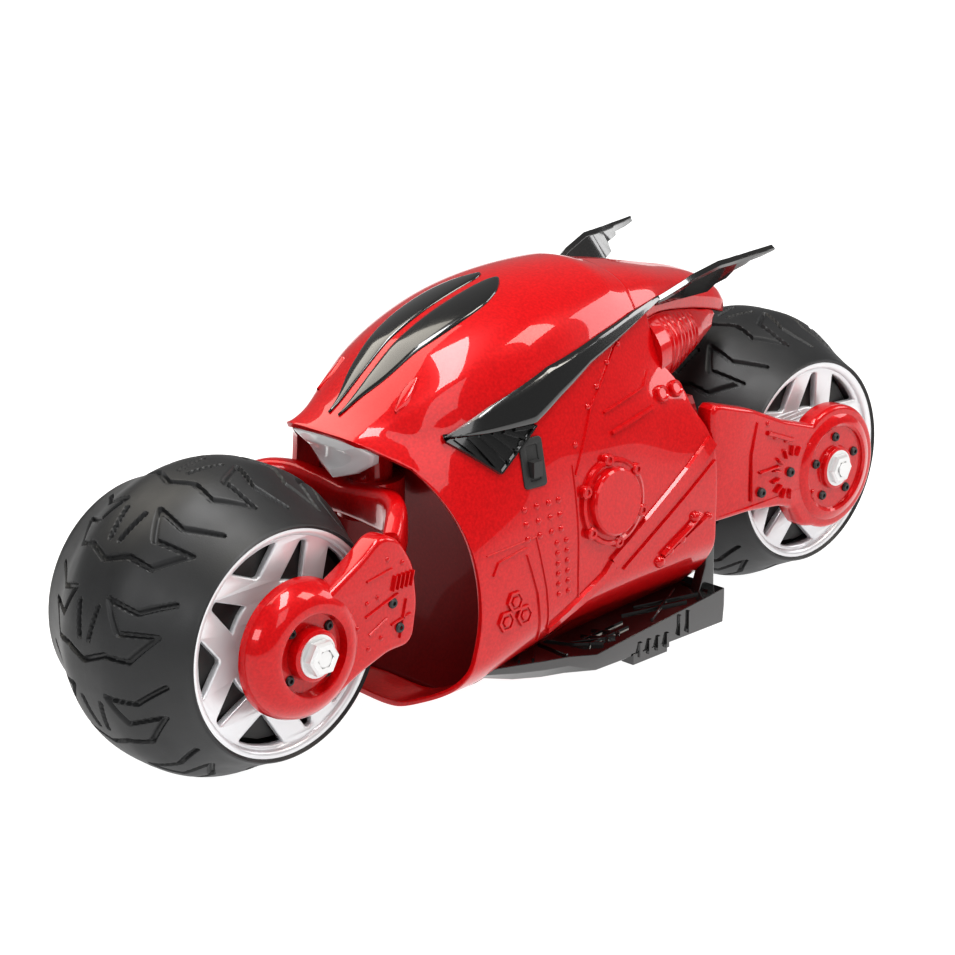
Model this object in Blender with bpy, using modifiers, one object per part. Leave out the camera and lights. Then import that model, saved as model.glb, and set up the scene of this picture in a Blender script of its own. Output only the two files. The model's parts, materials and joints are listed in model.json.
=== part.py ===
"""Radio-controlled motorcycle: two broad wheels, a two-half fairing, a steered fork and a belt drive.

Lengths below are in millimetres and become metres when a mesh is made. The origin is on the ground
midway between the wheels, +Z is up, -Y is forward and +X is the rider's left.
"""
import math

import bmesh
import bpy
from mathutils import Matrix, Vector

MM = 0.001
GAP = 0.3
WALL = 2.0

WHEEL_RADIUS = 57.5
WHEELBASE = 287.5
FRONT_Y = -WHEELBASE / 2
REAR_Y = WHEELBASE / 2
AXLE_Z = WHEEL_RADIUS
AXLE_RADIUS = 3.0
BORE_RADIUS = AXLE_RADIUS + GAP
LIP_RADIUS = 82.0
FRONT_WALL_RADIUS = 96.0
STEER_Y = -67.0
POST_RADIUS = 8.5
RIM_RADIUS = 42.0
RIM_FACE_X = 39.0
ARM_INNER_X = 43.3
ARM_OUTER_X = 52.0
MOTOR_Y = 76.0
MOTOR_Z = 80.0
WHEEL_PULLEY_RADIUS = 11.0
MOTOR_PULLEY_RADIUS = 4.4
SWITCH_Y = -30.0
SWITCH_Z = 97.0
REAR_END_Y = 68.0
COWL_FRONT_Y = 43.5
TAIL_END_Y = 118.0

# Longitudinal lines of the body, front to rear: (y, z) for the crest and (y, x, z) for the others.
CREST = [(-92, 115), (-80, 122), (-66, 133), (-53, 142), (-30, 151), (0, 157.4), (31, 158.5),
         (43.5, 155.6), (60, 152.5), (81, 147.5), (104.5, 141), (118, 133)]
EDGE = [(-92, 19, 114), (-80, 24, 113), (-62.5, 34, 112.5), (-43, 39, 120), (-15, 41, 129.7),
        (18, 37.5, 135.6), (58.5, 29, 140.6), (81, 24, 137.5), (104, 19, 132), (118, 15, 127)]
SIDE_LINES = [
    [(-92, 20.5, 110), (-80, 29, 107), (-71, 36, 102), (-62, 39, 104.5), (-43, 44, 107),
     (-15, 46, 112.5), (18, 43.5, 117), (58, 36, 122), (68, 33, 121)],
    [(-92, 22, 106), (-80, 33, 100), (-71, 40.5, 92.5), (-62, 44.5, 91), (-43, 48.5, 90),
     (-15, 50.5, 92), (18, 50, 96), (58, 46.5, 101), (68, 45, 101)],
    [(-92, 36, 85), (-80, 44, 78), (-71, 48, 75), (-62, 50, 73.5), (-30, 53, 71), (30, 53.3, 74),
     (68, 53, 80)],
    [(-92, 53.5, 50), (68, 53.5, 50)],
    [(-92, 53.8, 36), (-50, 53.6, 35), (0, 52.5, 40), (68, 52.5, 42)],
    [(-92, 52.5, 27), (-60, 52.5, 27), (-30, 49, 28.5), (0, 45, 30.5), (68, 45, 31)],
    [(-92, 46, 19.5), (-60, 46, 19.5), (-30, 40, 20.5), (0, 35.5, 22.5), (68, 35.5, 23)],
    [(-92, 33, 12.5), (-60, 33, 12.5), (-30, 31, 13), (0, 28, 14.5), (68, 28, 14.5)],
    [(-92, 22, 9), (68, 22, 9)],
]
BOTTOM_Z = 9.0
BODY_STATIONS = [-92, -86, -79, -72, -65, -57, -45, -30, -12, 8, 28, 44, 58, REAR_END_Y]
TAIL_STATIONS = [COWL_FRONT_Y + GAP, 58, 81, 104, TAIL_END_Y]
COWL_DEPTH = 5.0
DUCT_GAP = 1.3

RED = ("red_gloss_plastic", (0.62, 0.012, 0.01), 0.2, 0.0)
DARK_RED = ("dark_red_plastic", (0.2, 0.01, 0.01), 0.35, 0.0)
BLACK = ("black_gloss_plastic", (0.01, 0.01, 0.01), 0.25, 0.0)
MATTE = ("black_matte_plastic", (0.02, 0.02, 0.02), 0.6, 0.0)
TYRE = ("tyre_rubber", (0.025, 0.025, 0.027), 0.75, 0.0)
SILVER = ("silver_paint", (0.7, 0.71, 0.72), 0.35, 0.6)
STEEL = ("bright_steel", (0.75, 0.75, 0.75), 0.25, 1.0)
LENS = ("clear_plastic", (0.8, 0.82, 0.83), 0.1, 0.0)
GREEN = ("board_laminate", (0.02, 0.15, 0.05), 0.5, 0.0)
BLUE = ("battery_wrap", (0.05, 0.12, 0.4), 0.4, 0.0)
BELT = ("belt_rubber", (0.02, 0.02, 0.02), 0.8, 0.0)

for stale in list(bpy.data.objects):
    bpy.data.objects.remove(stale)
PARTS = bpy.data.collections.new("rc_motorcycle")
bpy.context.scene.collection.children.link(PARTS)


def new_object(name, mesh):
    obj = bpy.data.objects.new(name, mesh)
    PARTS.objects.link(obj)
    return obj


def from_bmesh(name, bm):
    """Scales a bmesh in millimetres to metres and makes an object of it, faces pointing out."""
    bmesh.ops.scale(bm, vec=(MM, MM, MM), verts=bm.verts)
    bmesh.ops.recalc_face_normals(bm, faces=bm.faces)
    mesh = bpy.data.meshes.new(name)
    bm.to_mesh(mesh)
    bm.free()
    return new_object(name, mesh)


def evaluated_mesh(obj):
    bpy.context.view_layer.update()
    graph = bpy.context.evaluated_depsgraph_get()
    return bpy.data.meshes.new_from_object(obj.evaluated_get(graph))


def box(name, low, high):
    bm = bmesh.new()
    size = [high[k] - low[k] for k in range(3)]
    middle = [(high[k] + low[k]) / 2 for k in range(3)]
    bmesh.ops.create_cube(bm, size=1, matrix=Matrix.Translation(middle) @ Matrix.Diagonal((*size, 1)))
    return from_bmesh(name, bm)


def cylinder(name, axis, centre, radius, low, high, sides=24, radius_high=None):
    """A cylinder or cone along X, Y or Z; centre holds the other two coordinates."""
    turns = {"X": Matrix.Rotation(math.pi / 2, 4, "Y"), "Y": Matrix.Rotation(-math.pi / 2, 4, "X"),
             "Z": Matrix.Identity(4)}
    middle = list(centre)
    middle.insert("XYZ".index(axis), (low + high) / 2)
    bm = bmesh.new()
    bmesh.ops.create_cone(bm, cap_ends=True, segments=sides, radius1=radius,
                          radius2=radius if radius_high is None else radius_high, depth=high - low,
                          matrix=Matrix.Translation(middle) @ turns[axis])
    return from_bmesh(name, bm)


def plate(name, outline, axis, low, high):
    """A flat outline pushed from low to high: (y, z) points along X, or (x, y) points along Z."""
    curve = bpy.data.curves.new(name, "CURVE")
    curve.dimensions = "2D"
    curve.fill_mode = "BOTH"
    curve.extrude = (high - low) / 2 * MM
    spline = curve.splines.new("POLY")
    spline.points.add(len(outline) - 1)
    for point, (u, v) in zip(spline.points, outline):
        point.co = (u * MM, v * MM, 0, 1)
    spline.use_cyclic_u = True
    source = new_object(name, curve)
    mesh = evaluated_mesh(source)
    bpy.data.objects.remove(source)
    turn = Matrix.Identity(4)
    if axis == "X":
        turn = Matrix(((0, 0, 1, 0), (1, 0, 0, 0), (0, 1, 0, 0), (0, 0, 0, 1)))
    middle = (low + high) / 2 * MM
    shift = Matrix.Translation((middle, 0, 0) if axis == "X" else (0, 0, middle))
    mesh.transform(shift @ turn)
    bm = bmesh.new()
    bm.from_mesh(mesh)
    bmesh.ops.remove_doubles(bm, verts=bm.verts, dist=0.00001)
    bmesh.ops.recalc_face_normals(bm, faces=bm.faces)
    bm.to_mesh(mesh)
    bm.free()
    return new_object(name, mesh)


def turned(name, profile, centre_y, steps):
    """A closed (x, radius) profile turned about the wheel axle at centre_y."""
    mesh = bpy.data.meshes.new(name)
    points = [(radius * MM, 0, x * MM) for x, radius in profile]
    edges = [(i, (i + 1) % len(points)) for i in range(len(points))]
    mesh.from_pydata(points, edges, [])
    obj = new_object(name, mesh)
    screw = obj.modifiers.new("turn", "SCREW")
    screw.steps = steps
    screw.render_steps = steps
    screw.use_merge_vertices = True
    screw.merge_threshold = 0.00001
    result = evaluated_mesh(obj)
    place = Matrix.Translation((0, centre_y * MM, AXLE_Z * MM))
    result.transform(place @ Matrix.Rotation(math.pi / 2, 4, "Y"))
    bpy.data.objects.remove(obj)
    bm = bmesh.new()
    bm.from_mesh(result)
    bmesh.ops.recalc_face_normals(bm, faces=bm.faces)
    bm.to_mesh(result)
    bm.free()
    return new_object(name, result)


def loft(name, rings):
    """Skins a row of rings with the same number of points, and closes both ends."""
    bm = bmesh.new()
    rows = [[bm.verts.new(p) for p in ring] for ring in rings]
    count = len(rings[0])
    for here, there in zip(rows, rows[1:]):
        for i in range(count):
            j = (i + 1) % count
            bm.faces.new((here[i], here[j], there[j], there[i]))
    bm.faces.new(rows[0])
    bm.faces.new(rows[-1])
    bmesh.ops.triangulate(bm, faces=bm.faces)
    return from_bmesh(name, bm)


def hull(name, points):
    bm = bmesh.new()
    verts = [bm.verts.new(p) for p in points]
    made = bmesh.ops.convex_hull(bm, input=verts)
    spare = [v for v in made["geom_interior"] if isinstance(v, bmesh.types.BMVert)]
    bmesh.ops.delete(bm, geom=spare, context="VERTS")
    return from_bmesh(name, bm)


def combine(obj, other, operation):
    """Applies an exact Boolean of other to obj and removes other."""
    step = obj.modifiers.new("combine", "BOOLEAN")
    step.object = other
    step.operation = operation
    mesh = evaluated_mesh(obj)
    obj.modifiers.clear()
    obj.data = mesh
    bpy.data.objects.remove(other)
    return obj


def cut(obj, other):
    return combine(obj, other, "DIFFERENCE")


def join(obj, other):
    return combine(obj, other, "UNION")


def trim(obj, other):
    return combine(obj, other, "INTERSECT")


def mirrored(obj, name):
    mesh = obj.data.copy()
    mesh.transform(Matrix.Diagonal((-1, 1, 1, 1)))
    mesh.flip_normals()
    return new_object(name, mesh)


def material(finish):
    name, colour, roughness, metallic = finish
    found = bpy.data.materials.get(name)
    if found:
        return found
    made = bpy.data.materials.new(name)
    made.use_nodes = True
    shader = made.node_tree.nodes["Principled BSDF"]
    shader.inputs["Base Color"].default_value = (*colour, 1)
    shader.inputs["Roughness"].default_value = roughness
    shader.inputs["Metallic"].default_value = metallic
    return made


def publish(obj, name, finish, pivot=None):
    """Names a finished part, gives it its material and hangs it on its pivot."""
    obj.name = name
    obj.data.name = name
    obj.data.materials.clear()
    obj.data.materials.append(material(finish))
    if pivot:
        obj.data.transform(Matrix.Translation(-pivot.location))
        obj.parent = pivot
    obj.data.shade_smooth()
    obj.data.set_sharp_from_angle(angle=math.radians(35))


def publish_pair(obj, name, finish, pivot=None):
    """Publishes the left part and its mirror image on the right."""
    twin = mirrored(obj, name + "_right")
    publish(obj, name + "_left", finish, pivot)
    publish(twin, name + "_right", finish, pivot)


def new_pivot(name, x, y, z):
    empty = bpy.data.objects.new(name, None)
    empty.location = (x * MM, y * MM, z * MM)
    PARTS.objects.link(empty)
    return empty


def along(line, y):
    """The values of a longitudinal line at y, by a smooth curve through its points."""
    if y <= line[0][0]:
        return line[0][1:]
    if y >= line[-1][0]:
        return line[-1][1:]
    i = max(k for k in range(len(line) - 1) if line[k][0] <= y)
    before = line[max(i - 1, 0)]
    after = line[min(i + 2, len(line) - 1)]
    a, b = line[i], line[i + 1]
    span = b[0] - a[0]
    t = (y - a[0]) / span
    values = []
    for k in range(1, len(a)):
        slope_a = (b[k] - before[k]) / (b[0] - before[0]) * span
        slope_b = (after[k] - a[k]) / (after[0] - a[0]) * span
        values.append((2 * t**3 - 3 * t**2 + 1) * a[k] + (t**3 - 2 * t**2 + t) * slope_a
                      + (3 * t**2 - 2 * t**3) * b[k] + (t**3 - t**2) * slope_b)
    return values


def crown_points(y):
    """The top of a section from the crest to the edge line."""
    top = along(CREST, y)[0]
    x, z = along(EDGE, y)
    drop = top - z
    return [(0, top), (0.45 * x, top - 0.11 * drop), (0.8 * x, top - 0.42 * drop), (x, z)]


def offset_ring(half, y, offset):
    """A whole ring from a half section that starts and ends on the centre plane, moved outward."""
    ring = [Vector(p) for p in half] + [Vector((-x, z)) for x, z in reversed(half[1:-1])]
    count = len(ring)
    moved = []
    for i, point in enumerate(ring):
        tangent = (ring[(i + 1) % count] - ring[i - 1]).normalized()
        moved.append((point.x - tangent.y * offset, y, point.y + tangent.x * offset))
    return moved


def body_ring(y, offset):
    half = crown_points(y) + [tuple(along(line, y)) for line in SIDE_LINES] + [(0, BOTTOM_Z)]
    return offset_ring(half, y, offset)


def body_loft(name, offset, past_ends=0.0):
    """The body's outer form grown by an offset, and stretched past its two ends."""
    rings = [body_ring(y, offset) for y in BODY_STATIONS]
    if past_ends:
        rings[0] = [(x, y - past_ends, z) for x, y, z in rings[0]]
        rings[-1] = [(x, y + past_ends, z) for x, y, z in rings[-1]]
    return loft(name, rings)


def arc(centre, radius, start, end, count):
    """Points on an arc in the plane of the outline, angles in degrees."""
    angles = [math.radians(start + (end - start) * i / count) for i in range(count + 1)]
    return [(centre[0] + radius * math.cos(a), centre[1] + radius * math.sin(a)) for a in angles]


def skin_patch(name, outline, axis, low, high, thickness):
    """A sheet that lies on the body, bounded by an outline."""
    patch = body_loft(name, GAP + thickness, past_ends=1)
    cut(patch, body_loft("under", GAP, past_ends=2))
    return trim(patch, plate("bound", outline, axis, low, high))


def capsule(a, radius_a, b, radius_b, count=8):
    """An outline round two circles."""
    heading = math.degrees(math.atan2(b[1] - a[1], b[0] - a[0]))
    distance = math.hypot(b[0] - a[0], b[1] - a[1])
    lean = math.degrees(math.acos((radius_a - radius_b) / distance))
    far = arc(b, radius_b, heading - lean, heading + lean, count)
    near = arc(a, radius_a, heading + lean, heading + 360 - lean, count)
    return far + near


def front_cutter():
    """What the front of the body is open to: the wheel's well and the space before the brow."""
    axle = (FRONT_Y, AXLE_Z)
    outline = [(-230, -6)] + arc(axle, LIP_RADIUS, -50, 34.5, 16) + [(-92, 115), (-92.5, 145), (-230, 145)]
    return plate("front_cutter", outline, "X", -80, 80)


def build_fairing():
    shell = body_loft("fairing", 0)
    cut(shell, body_loft("hollow", -WALL, past_ends=3))
    cut(shell, front_cutter())
    cut(shell, plate("cowl_room", [(COWL_FRONT_Y, 200), (COWL_FRONT_Y, 134), (50, 134), (50, 103),
                                   (80, 103), (80, 200)], "X", -80, 80))
    cut(shell, box("door_room", (-17 - GAP, -25 - GAP, 0), (17 + GAP, 45 + GAP, 12)))
    left = new_object("fairing_left", shell.data.copy())
    trim(left, box("left_side", (GAP / 2, -150, -10), (90, 150, 200)))
    trim(shell, box("right_side", (-90, -150, -10), (-GAP / 2, 150, 200)))
    cut(left, box("switch_slot", (40, SWITCH_Y - 3, SWITCH_Z - 4.5), (60, SWITCH_Y + 3, SWITCH_Z + 8.5)))
    publish(left, "fairing_left", RED)
    publish(shell, "fairing_right", RED)


def build_bulkheads():
    axle = (FRONT_Y, AXLE_Z)
    outer = FRONT_WALL_RADIUS + 2.5
    outline = arc(axle, FRONT_WALL_RADIUS, -45, 60, 12) + arc(axle, outer, 60, -45, 12)
    wall = plate("front_bulkhead", outline, "X", -60, 60)
    head = cylinder("head", "Z", (0, STEER_Y), POST_RADIUS + 4, 88, 120)
    cut(head, plate("head_trim", arc(axle, FRONT_WALL_RADIUS + 0.5, -60, 75, 16) + [axle], "X", -30, 30))
    join(wall, head)
    trim(wall, body_loft("inside", -WALL - GAP, past_ends=3))
    cut(wall, cylinder("head_bore", "Z", (0, STEER_Y), POST_RADIUS + GAP, 60, 140))
    publish(wall, "front_bulkhead", DARK_RED)
    rear = box("rear_bulkhead", (-60, 62, 5), (60, 66, 103))
    trim(rear, body_loft("inside", -WALL - GAP, past_ends=3))
    publish(rear, "rear_bulkhead", DARK_RED)


def tail_ring(y, inset, drop):
    half = crown_points(y)
    x, z = half[-1]
    half += [(x - 0.5, z - drop), (0, z - drop)]
    return offset_ring(half, y, -inset)


def build_tail():
    cowl = loft("tail_cowl", [tail_ring(y, 0, COWL_DEPTH) for y in TAIL_STATIONS])
    inner = [tail_ring(y, WALL, COWL_DEPTH + 10) for y in TAIL_STATIONS]
    inner[0] = [(x, y - 3, z) for x, y, z in inner[0]]
    inner[-1] = [(x, y - WALL, z) for x, y, z in inner[-1]]
    cut(cowl, loft("cowl_hollow", inner))
    publish(cowl, "tail_cowl", RED)
    duct_rows = [(50 + GAP, 38, 104.5, 41), (64, 34, 106.5, 37), (84, 27, 111, 29), (108, 18, 118, 20)]
    rings = []
    for y, x_low, z_low, x_mid in duct_rows:
        x, z = along(EDGE, y)
        z_high = z - COWL_DEPTH - DUCT_GAP
        rings.append([(2, y, z_low), (x_low - 4, y, z_low), (x_mid - 3, y, (z_low * 2 + z_high) / 3),
                      (x_low - 3, y, (z_low + z_high * 3) / 4), (x - 1, y, z_high), (2, y, z_high)])
    publish_pair(loft("tail_duct", rings), "tail_duct", RED)


def build_fins():
    """Upright black blades that lean outward over the cowl's edge and run back to a point."""
    # Each row: y, x and z of the lower edge, x and z of the upper edge.
    rows = [(60, 30.4, 139.4, 31, 141.4), (70, 29, 138.8, 33.5, 146.2), (74, 28.5, 138.5, 34.5, 148.2),
            (87, 27.5, 138, 37, 151.6), (92, 27.5, 138.3, 37.4, 151.9), (96, 31, 142.7, 37.6, 152.1),
            (104, 35, 148, 38.1, 152.7), (117, 37.5, 150.6, 39, 153.4)]
    half = 1.1
    rings = [[(x_low - half, y, z_low), (x_low + half, y, z_low), (x_high + half, y, z_high),
              (x_high - half, y, z_high)] for y, x_low, z_low, x_high, z_high in rows]
    publish_pair(loft("tail_fin", rings), "tail_fin", BLACK)


def build_skin_trim():
    intake = [(-62.5, 112.5), (-45, 98), (-25, 112), (-12, 119.5), (7, 127.5), (30, 133), (58.5, 139.3),
              (58.5, 141.2), (18, 136.8), (-15, 131), (-43, 121.5)]
    publish_pair(skin_patch("side_intake", intake, "X", 20, 80, 2.3), "side_intake", BLACK)
    screen = [(2.2, -60), (2.2, -30), (3, -20), (8, -15.5), (14, -18), (16.5, -27), (15.5, -42),
              (12, -60), (8, -75), (3.5, -86)]
    publish_pair(skin_patch("windshield", screen, "Z", 90, 180, 1.0), "windshield", BLACK)
    front = [(0, -91, 113.6), (17.5, -89.5, 111.8), (19.5, -82, 106.5), (11, -83, 98.5), (0, -85.4, 95.2)]
    points = []
    for x, y, z in front:
        for side in (-1, 1):
            points.append((side * x, y, z))
            points.append((side * x * 0.8, y + 4, z))
    lens = hull("headlight_lens", points)
    publish(lens, "headlight_lens", LENS)


def build_footboards():
    rows = [(-60, 44, 47.5, 21.5, 24.5), (-40, 36, 49.5, 15.5, 22), (-14, 28, 51.5, 11, 18.5),
            (0, 22, 53, 9, 15.5), (20, 22, 53.5, 9, 17.8), (72.5, 22, 55, 9.3, 24)]
    rings = [[(a, y, low), (b, y, low), (b, y, high), (a, y, high)] for y, a, b, low, high in rows]
    board = loft("footboard", rings)
    join(board, box("lug", (45, 20, 5.5), (53, 40, 10)))
    bracket = [(66, 20), (72.4, 20), (72.4, 43), (70, 43)]
    join(board, plate("bracket", bracket, "X", 44, 48.5))
    cut(board, body_loft("body_room", GAP, past_ends=GAP))
    publish_pair(board, "footboard", BLACK)


def build_inside():
    publish(box("tray", (-18, -44, 11.3), (18, 61.5, 13.5)), "chassis_tray", MATTE)
    publish(box("pack", (-16, -28, 13.8), (16, 42, 44)), "battery_pack", BLUE)
    publish(box("board", (-24, -24, 44.3), (24, 44, 46)), "circuit_board", GREEN)
    publish(box("servo", (-10, -53.5, 100), (10, -26, 119)), "steering_servo", MATTE)
    door = box("door", (-17, -25, BOTTOM_Z), (17, 45, BOTTOM_Z + WALL))
    cut(door, cylinder("screw_hole", "Z", (0, 40), 1.8, 0, 20, 12))
    publish(door, "battery_door", MATTE)
    publish(cylinder("screw", "Z", (0, 40), 1.5, 8.6, 11, 12), "battery_door_screw", STEEL)
    motor = cylinder("motor", "X", (MOTOR_Y, MOTOR_Z), 9.4, 6, 38, 20)
    publish(motor, "drive_motor", STEEL)
    housing = box("housing", (34, SWITCH_Y - 6, SWITCH_Z - 8), (42, SWITCH_Y + 6, SWITCH_Z + 10))
    publish(housing, "switch_housing", MATTE)


def build_switch_knob():
    pivot = new_pivot("power_switch_pivot", 46, SWITCH_Y, SWITCH_Z)
    knob = box("knob", (42.3, SWITCH_Y - 2.3, SWITCH_Z - 3), (51.3, SWITCH_Y + 2.3, SWITCH_Z + 3))
    publish(knob, "power_switch_knob", BLACK, pivot)


def build_tyre(name, centre_y, pivot):
    shoulder = [(9.5, 57.5), (14, 55.9), (19, 53.2), (25, 49.8), (31, 46.9), (37, 44.2), (40.8, 43)]
    bead = [(40.8, RIM_RADIUS + GAP), (36, RIM_RADIUS + GAP), (36, 40.3)]
    half = shoulder + bead
    profile = half + [(-x, r) for x, r in reversed(half)]
    publish(turned(name, profile, centre_y, 32), name, TYRE, pivot)


def window_outline(centre_y, angle, inner, outer, spread, points_out):
    """A three-cornered window of the rim, its broad side out or in."""
    narrow, wide = (inner, outer) if points_out else (outer, inner)
    centre = (centre_y, AXLE_Z)
    broad = arc(centre, wide, angle - spread, angle + spread, 2)
    return broad + arc(centre, narrow, angle, angle, 1)[:1]


def build_rims(wheel, centre_y, first_angle, pivot):
    profile = [(20.3, 40), (36.8, 40), (36.8, RIM_RADIUS), (RIM_FACE_X, RIM_RADIUS), (RIM_FACE_X, 38.6),
               (36.8, 38.2), (36.8, 12), (RIM_FACE_X, 12), (RIM_FACE_X, BORE_RADIUS), (33.5, BORE_RADIUS),
               (33.5, 38.4), (20.3, 38.4)]
    rim = turned(wheel + "_rim", profile, centre_y, 30)
    for k in range(5):
        angle = first_angle + 72 * k
        for turn, inner, outer, spread, out in ((0, 26, 37.6, 18, True), (36, 21, 37.4, 15, False)):
            outline = window_outline(centre_y, angle + turn, inner, outer, spread, out)
            cut(rim, plate("window", outline, "X", 30, 45))
    publish_pair(rim, wheel + "_rim", SILVER, pivot)
    half = [(20, 40), (20, 36), (33.2, 36), (33.2, BORE_RADIUS)]
    core = [(x, r) for x, r in half] + [(-x, r) for x, r in reversed(half)]
    publish(turned(wheel + "_hub_core", core, centre_y, 24), wheel + "_hub_core", MATTE, pivot)


def build_axle(wheel, centre_y, reach, nut_low, nut_high, pivot):
    axle = cylinder("axle", "X", (centre_y, AXLE_Z), AXLE_RADIUS, -reach, reach, 12)
    publish(axle, wheel + "_axle", STEEL, pivot)
    nut = cylinder("nut", "X", (centre_y, AXLE_Z), 6.6, nut_low, nut_high, 6)
    cut(nut, cylinder("nut_bore", "X", (centre_y, AXLE_Z), BORE_RADIUS, 40, 70, 12))
    publish_pair(nut, wheel + "_axle_nut", STEEL, pivot)


def hub_cap(name, centre_y, profile, pivot=None):
    publish_pair(turned(name, profile, centre_y, 20), name, RED, pivot)


def build_fork(pivot):
    post = cylinder("post", "Z", (0, STEER_Y), POST_RADIUS, 80, 122)
    join(post, cylinder("flange", "Z", (0, STEER_Y), 12.5, 78, 86))
    join(post, cylinder("collar", "Z", (0, STEER_Y), 12.5, 85.9, 92, radius_high=9))
    rows = [(0, -78, 86, 8.5, 7), (14, -79, 86.5, 8.5, 7), (26, -82, 87.5, 8, 7), (36, -88, 85, 7.5, 7),
            (42.9, -95.5, 80.5, 7.5, 7)]
    rows = [(-x, *rest) for x, *rest in reversed(rows[1:])] + rows
    rings = []
    for x, y, z, half_y, half_z in rows:
        corners = arc((0, 0), 1, 22.5, 337.5, 7)
        rings.append([(x, y + u * half_y, z + v * half_z) for u, v in corners])
    join(post, loft("yoke", rings))
    publish(post, "fork_crown", RED, pivot)
    lever = box("lever", (-5, STEER_Y - 4, 122 + GAP), (5, -40, 124.6))
    publish(lever, "steering_lever", MATTE, pivot)
    outline = [(-131, 79), (-119, 83.5), (-110, 90), (-103, 87), (-97, 77), (-95.5, 63), (-98, 50), (-108, 50),
               (-122, 45.5), (-131, 39)]
    arm = plate("fork_arm", outline, "X", ARM_INNER_X, ARM_OUTER_X)
    disc = cylinder("disc", "X", (FRONT_Y, AXLE_Z), 26, ARM_INNER_X, 49, 36)
    join(arm, disc)
    cut(arm, cylinder("cap_room", "X", (FRONT_Y, AXLE_Z), 22.6, 48.9, 60, 28))
    cut(arm, cylinder("axle_bore", "X", (FRONT_Y, AXLE_Z), BORE_RADIUS, 40, 60, 12))
    publish_pair(arm, "fork_arm", RED, pivot)
    cap = [(54.5, 8.5), (54.5, 9.5), (51.5, 10), (51.5, 16), (54.5, 17), (53.5, 20.5), (51, 22.3),
           (49 + GAP, 22.3), (49 + GAP, BORE_RADIUS), (54.5, BORE_RADIUS)]
    hub_cap("fork_cap", FRONT_Y, cap, pivot)
    build_axle("front", FRONT_Y, 60, 54.5 + GAP, 60.5, pivot)


def build_swingarms():
    rows = [(66 + GAP, 38, 43.5, 54, 93), (75, 42.3, 49.2, 53, 95.5), (90, ARM_INNER_X, ARM_OUTER_X, 53, 92),
            (110, ARM_INNER_X, ARM_OUTER_X, 50.5, 83), (121, ARM_INNER_X, ARM_OUTER_X, 50.8, 78.5)]
    rings = []
    for y, inner, outer, low, high in rows:
        chamfer = 3
        rings.append([(inner, y, low), (outer - chamfer, y, low), (outer, y, low + chamfer),
                      (outer, y, high - chamfer), (outer - chamfer, y, high), (inner, y, high)])
    arm = loft("swingarm", rings)
    join(arm, cylinder("disc", "X", (REAR_Y, AXLE_Z), 24, ARM_INNER_X, 49.4, 36))
    cut(arm, cylinder("axle_bore", "X", (REAR_Y, AXLE_Z), BORE_RADIUS, 40, 60, 12))
    twin = mirrored(arm, "swingarm_right")
    channel = capsule((REAR_Y, AXLE_Z), 14.5, (MOTOR_Y, MOTOR_Z), 8)
    cut(arm, plate("belt_channel", channel, "X", 30, 48.9))
    publish(arm, "swingarm_left", RED)
    publish(twin, "swingarm_right", RED)
    cap = [(53.2, 8), (53.2, 9), (51, 9.5), (51, 14.5), (52.5, 15.5), (52.5, 19), (51, 21.8),
           (49.4 + GAP, 21.8), (49.4 + GAP, BORE_RADIUS), (53.2, BORE_RADIUS)]
    hub_cap("swingarm_cap", REAR_Y, cap)
    build_axle("rear", REAR_Y, 58, 53.2 + GAP, 57.5, None)


def build_belt_drive(wheel_pivot):
    pulley = cylinder("pulley", "X", (REAR_Y, AXLE_Z), WHEEL_PULLEY_RADIUS, 44, 48, 24)
    join(pulley, cylinder("boss", "X", (REAR_Y, AXLE_Z), 6, RIM_FACE_X + GAP, 44.5, 16))
    cut(pulley, cylinder("pulley_bore", "X", (REAR_Y, AXLE_Z), BORE_RADIUS, 30, 60, 12))
    publish(pulley, "rear_pulley", MATTE, wheel_pivot)
    motor_pivot = new_pivot("motor_pulley_pivot", 44, MOTOR_Y, MOTOR_Z)
    small = cylinder("small", "X", (MOTOR_Y, MOTOR_Z), MOTOR_PULLEY_RADIUS, 44, 48, 16)
    join(small, cylinder("shaft", "X", (MOTOR_Y, MOTOR_Z), 1.5, 38 + GAP, 44.5, 10))
    publish(small, "motor_pulley", STEEL, motor_pivot)
    wheel_centre = (REAR_Y, AXLE_Z)
    motor_centre = (MOTOR_Y, MOTOR_Z)
    inner = capsule(wheel_centre, WHEEL_PULLEY_RADIUS + GAP, motor_centre, MOTOR_PULLEY_RADIUS + GAP, 12)
    outer = capsule(wheel_centre, WHEEL_PULLEY_RADIUS + 1.6, motor_centre, MOTOR_PULLEY_RADIUS + 1.6, 12)
    belt = plate("belt", outer, "X", 44.8, 47.2)
    cut(belt, plate("belt_inside", inner, "X", 40, 50))
    publish(belt, "drive_belt", BELT)


def build():
    build_fairing()
    build_bulkheads()
    build_tail()
    build_fins()
    build_skin_trim()
    build_footboards()
    build_inside()
    build_switch_knob()
    fork_pivot = new_pivot("steering_pivot", 0, STEER_Y, 85)
    build_fork(fork_pivot)
    build_swingarms()
    for wheel, centre_y, first_angle in (("front", FRONT_Y, 108), ("rear", REAR_Y, 119)):
        pivot = new_pivot(wheel + "_wheel_pivot", 0, centre_y, AXLE_Z)
        build_tyre(wheel + "_tyre", centre_y, pivot)
        build_rims(wheel, centre_y, first_angle, pivot)
        if wheel == "rear":
            build_belt_drive(pivot)


build()
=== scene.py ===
"""Looks of the radio-controlled motorcycle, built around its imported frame.

Shapes are made in millimetres in the frame's axes (+Z up, -Y forward, +X the rider's left) and scaled
to metres when a mesh is made.
"""
import json
import math

import bmesh
import bpy
import numpy as np
from mathutils import Matrix, Vector
from mathutils.bvhtree import BVHTree

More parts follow.
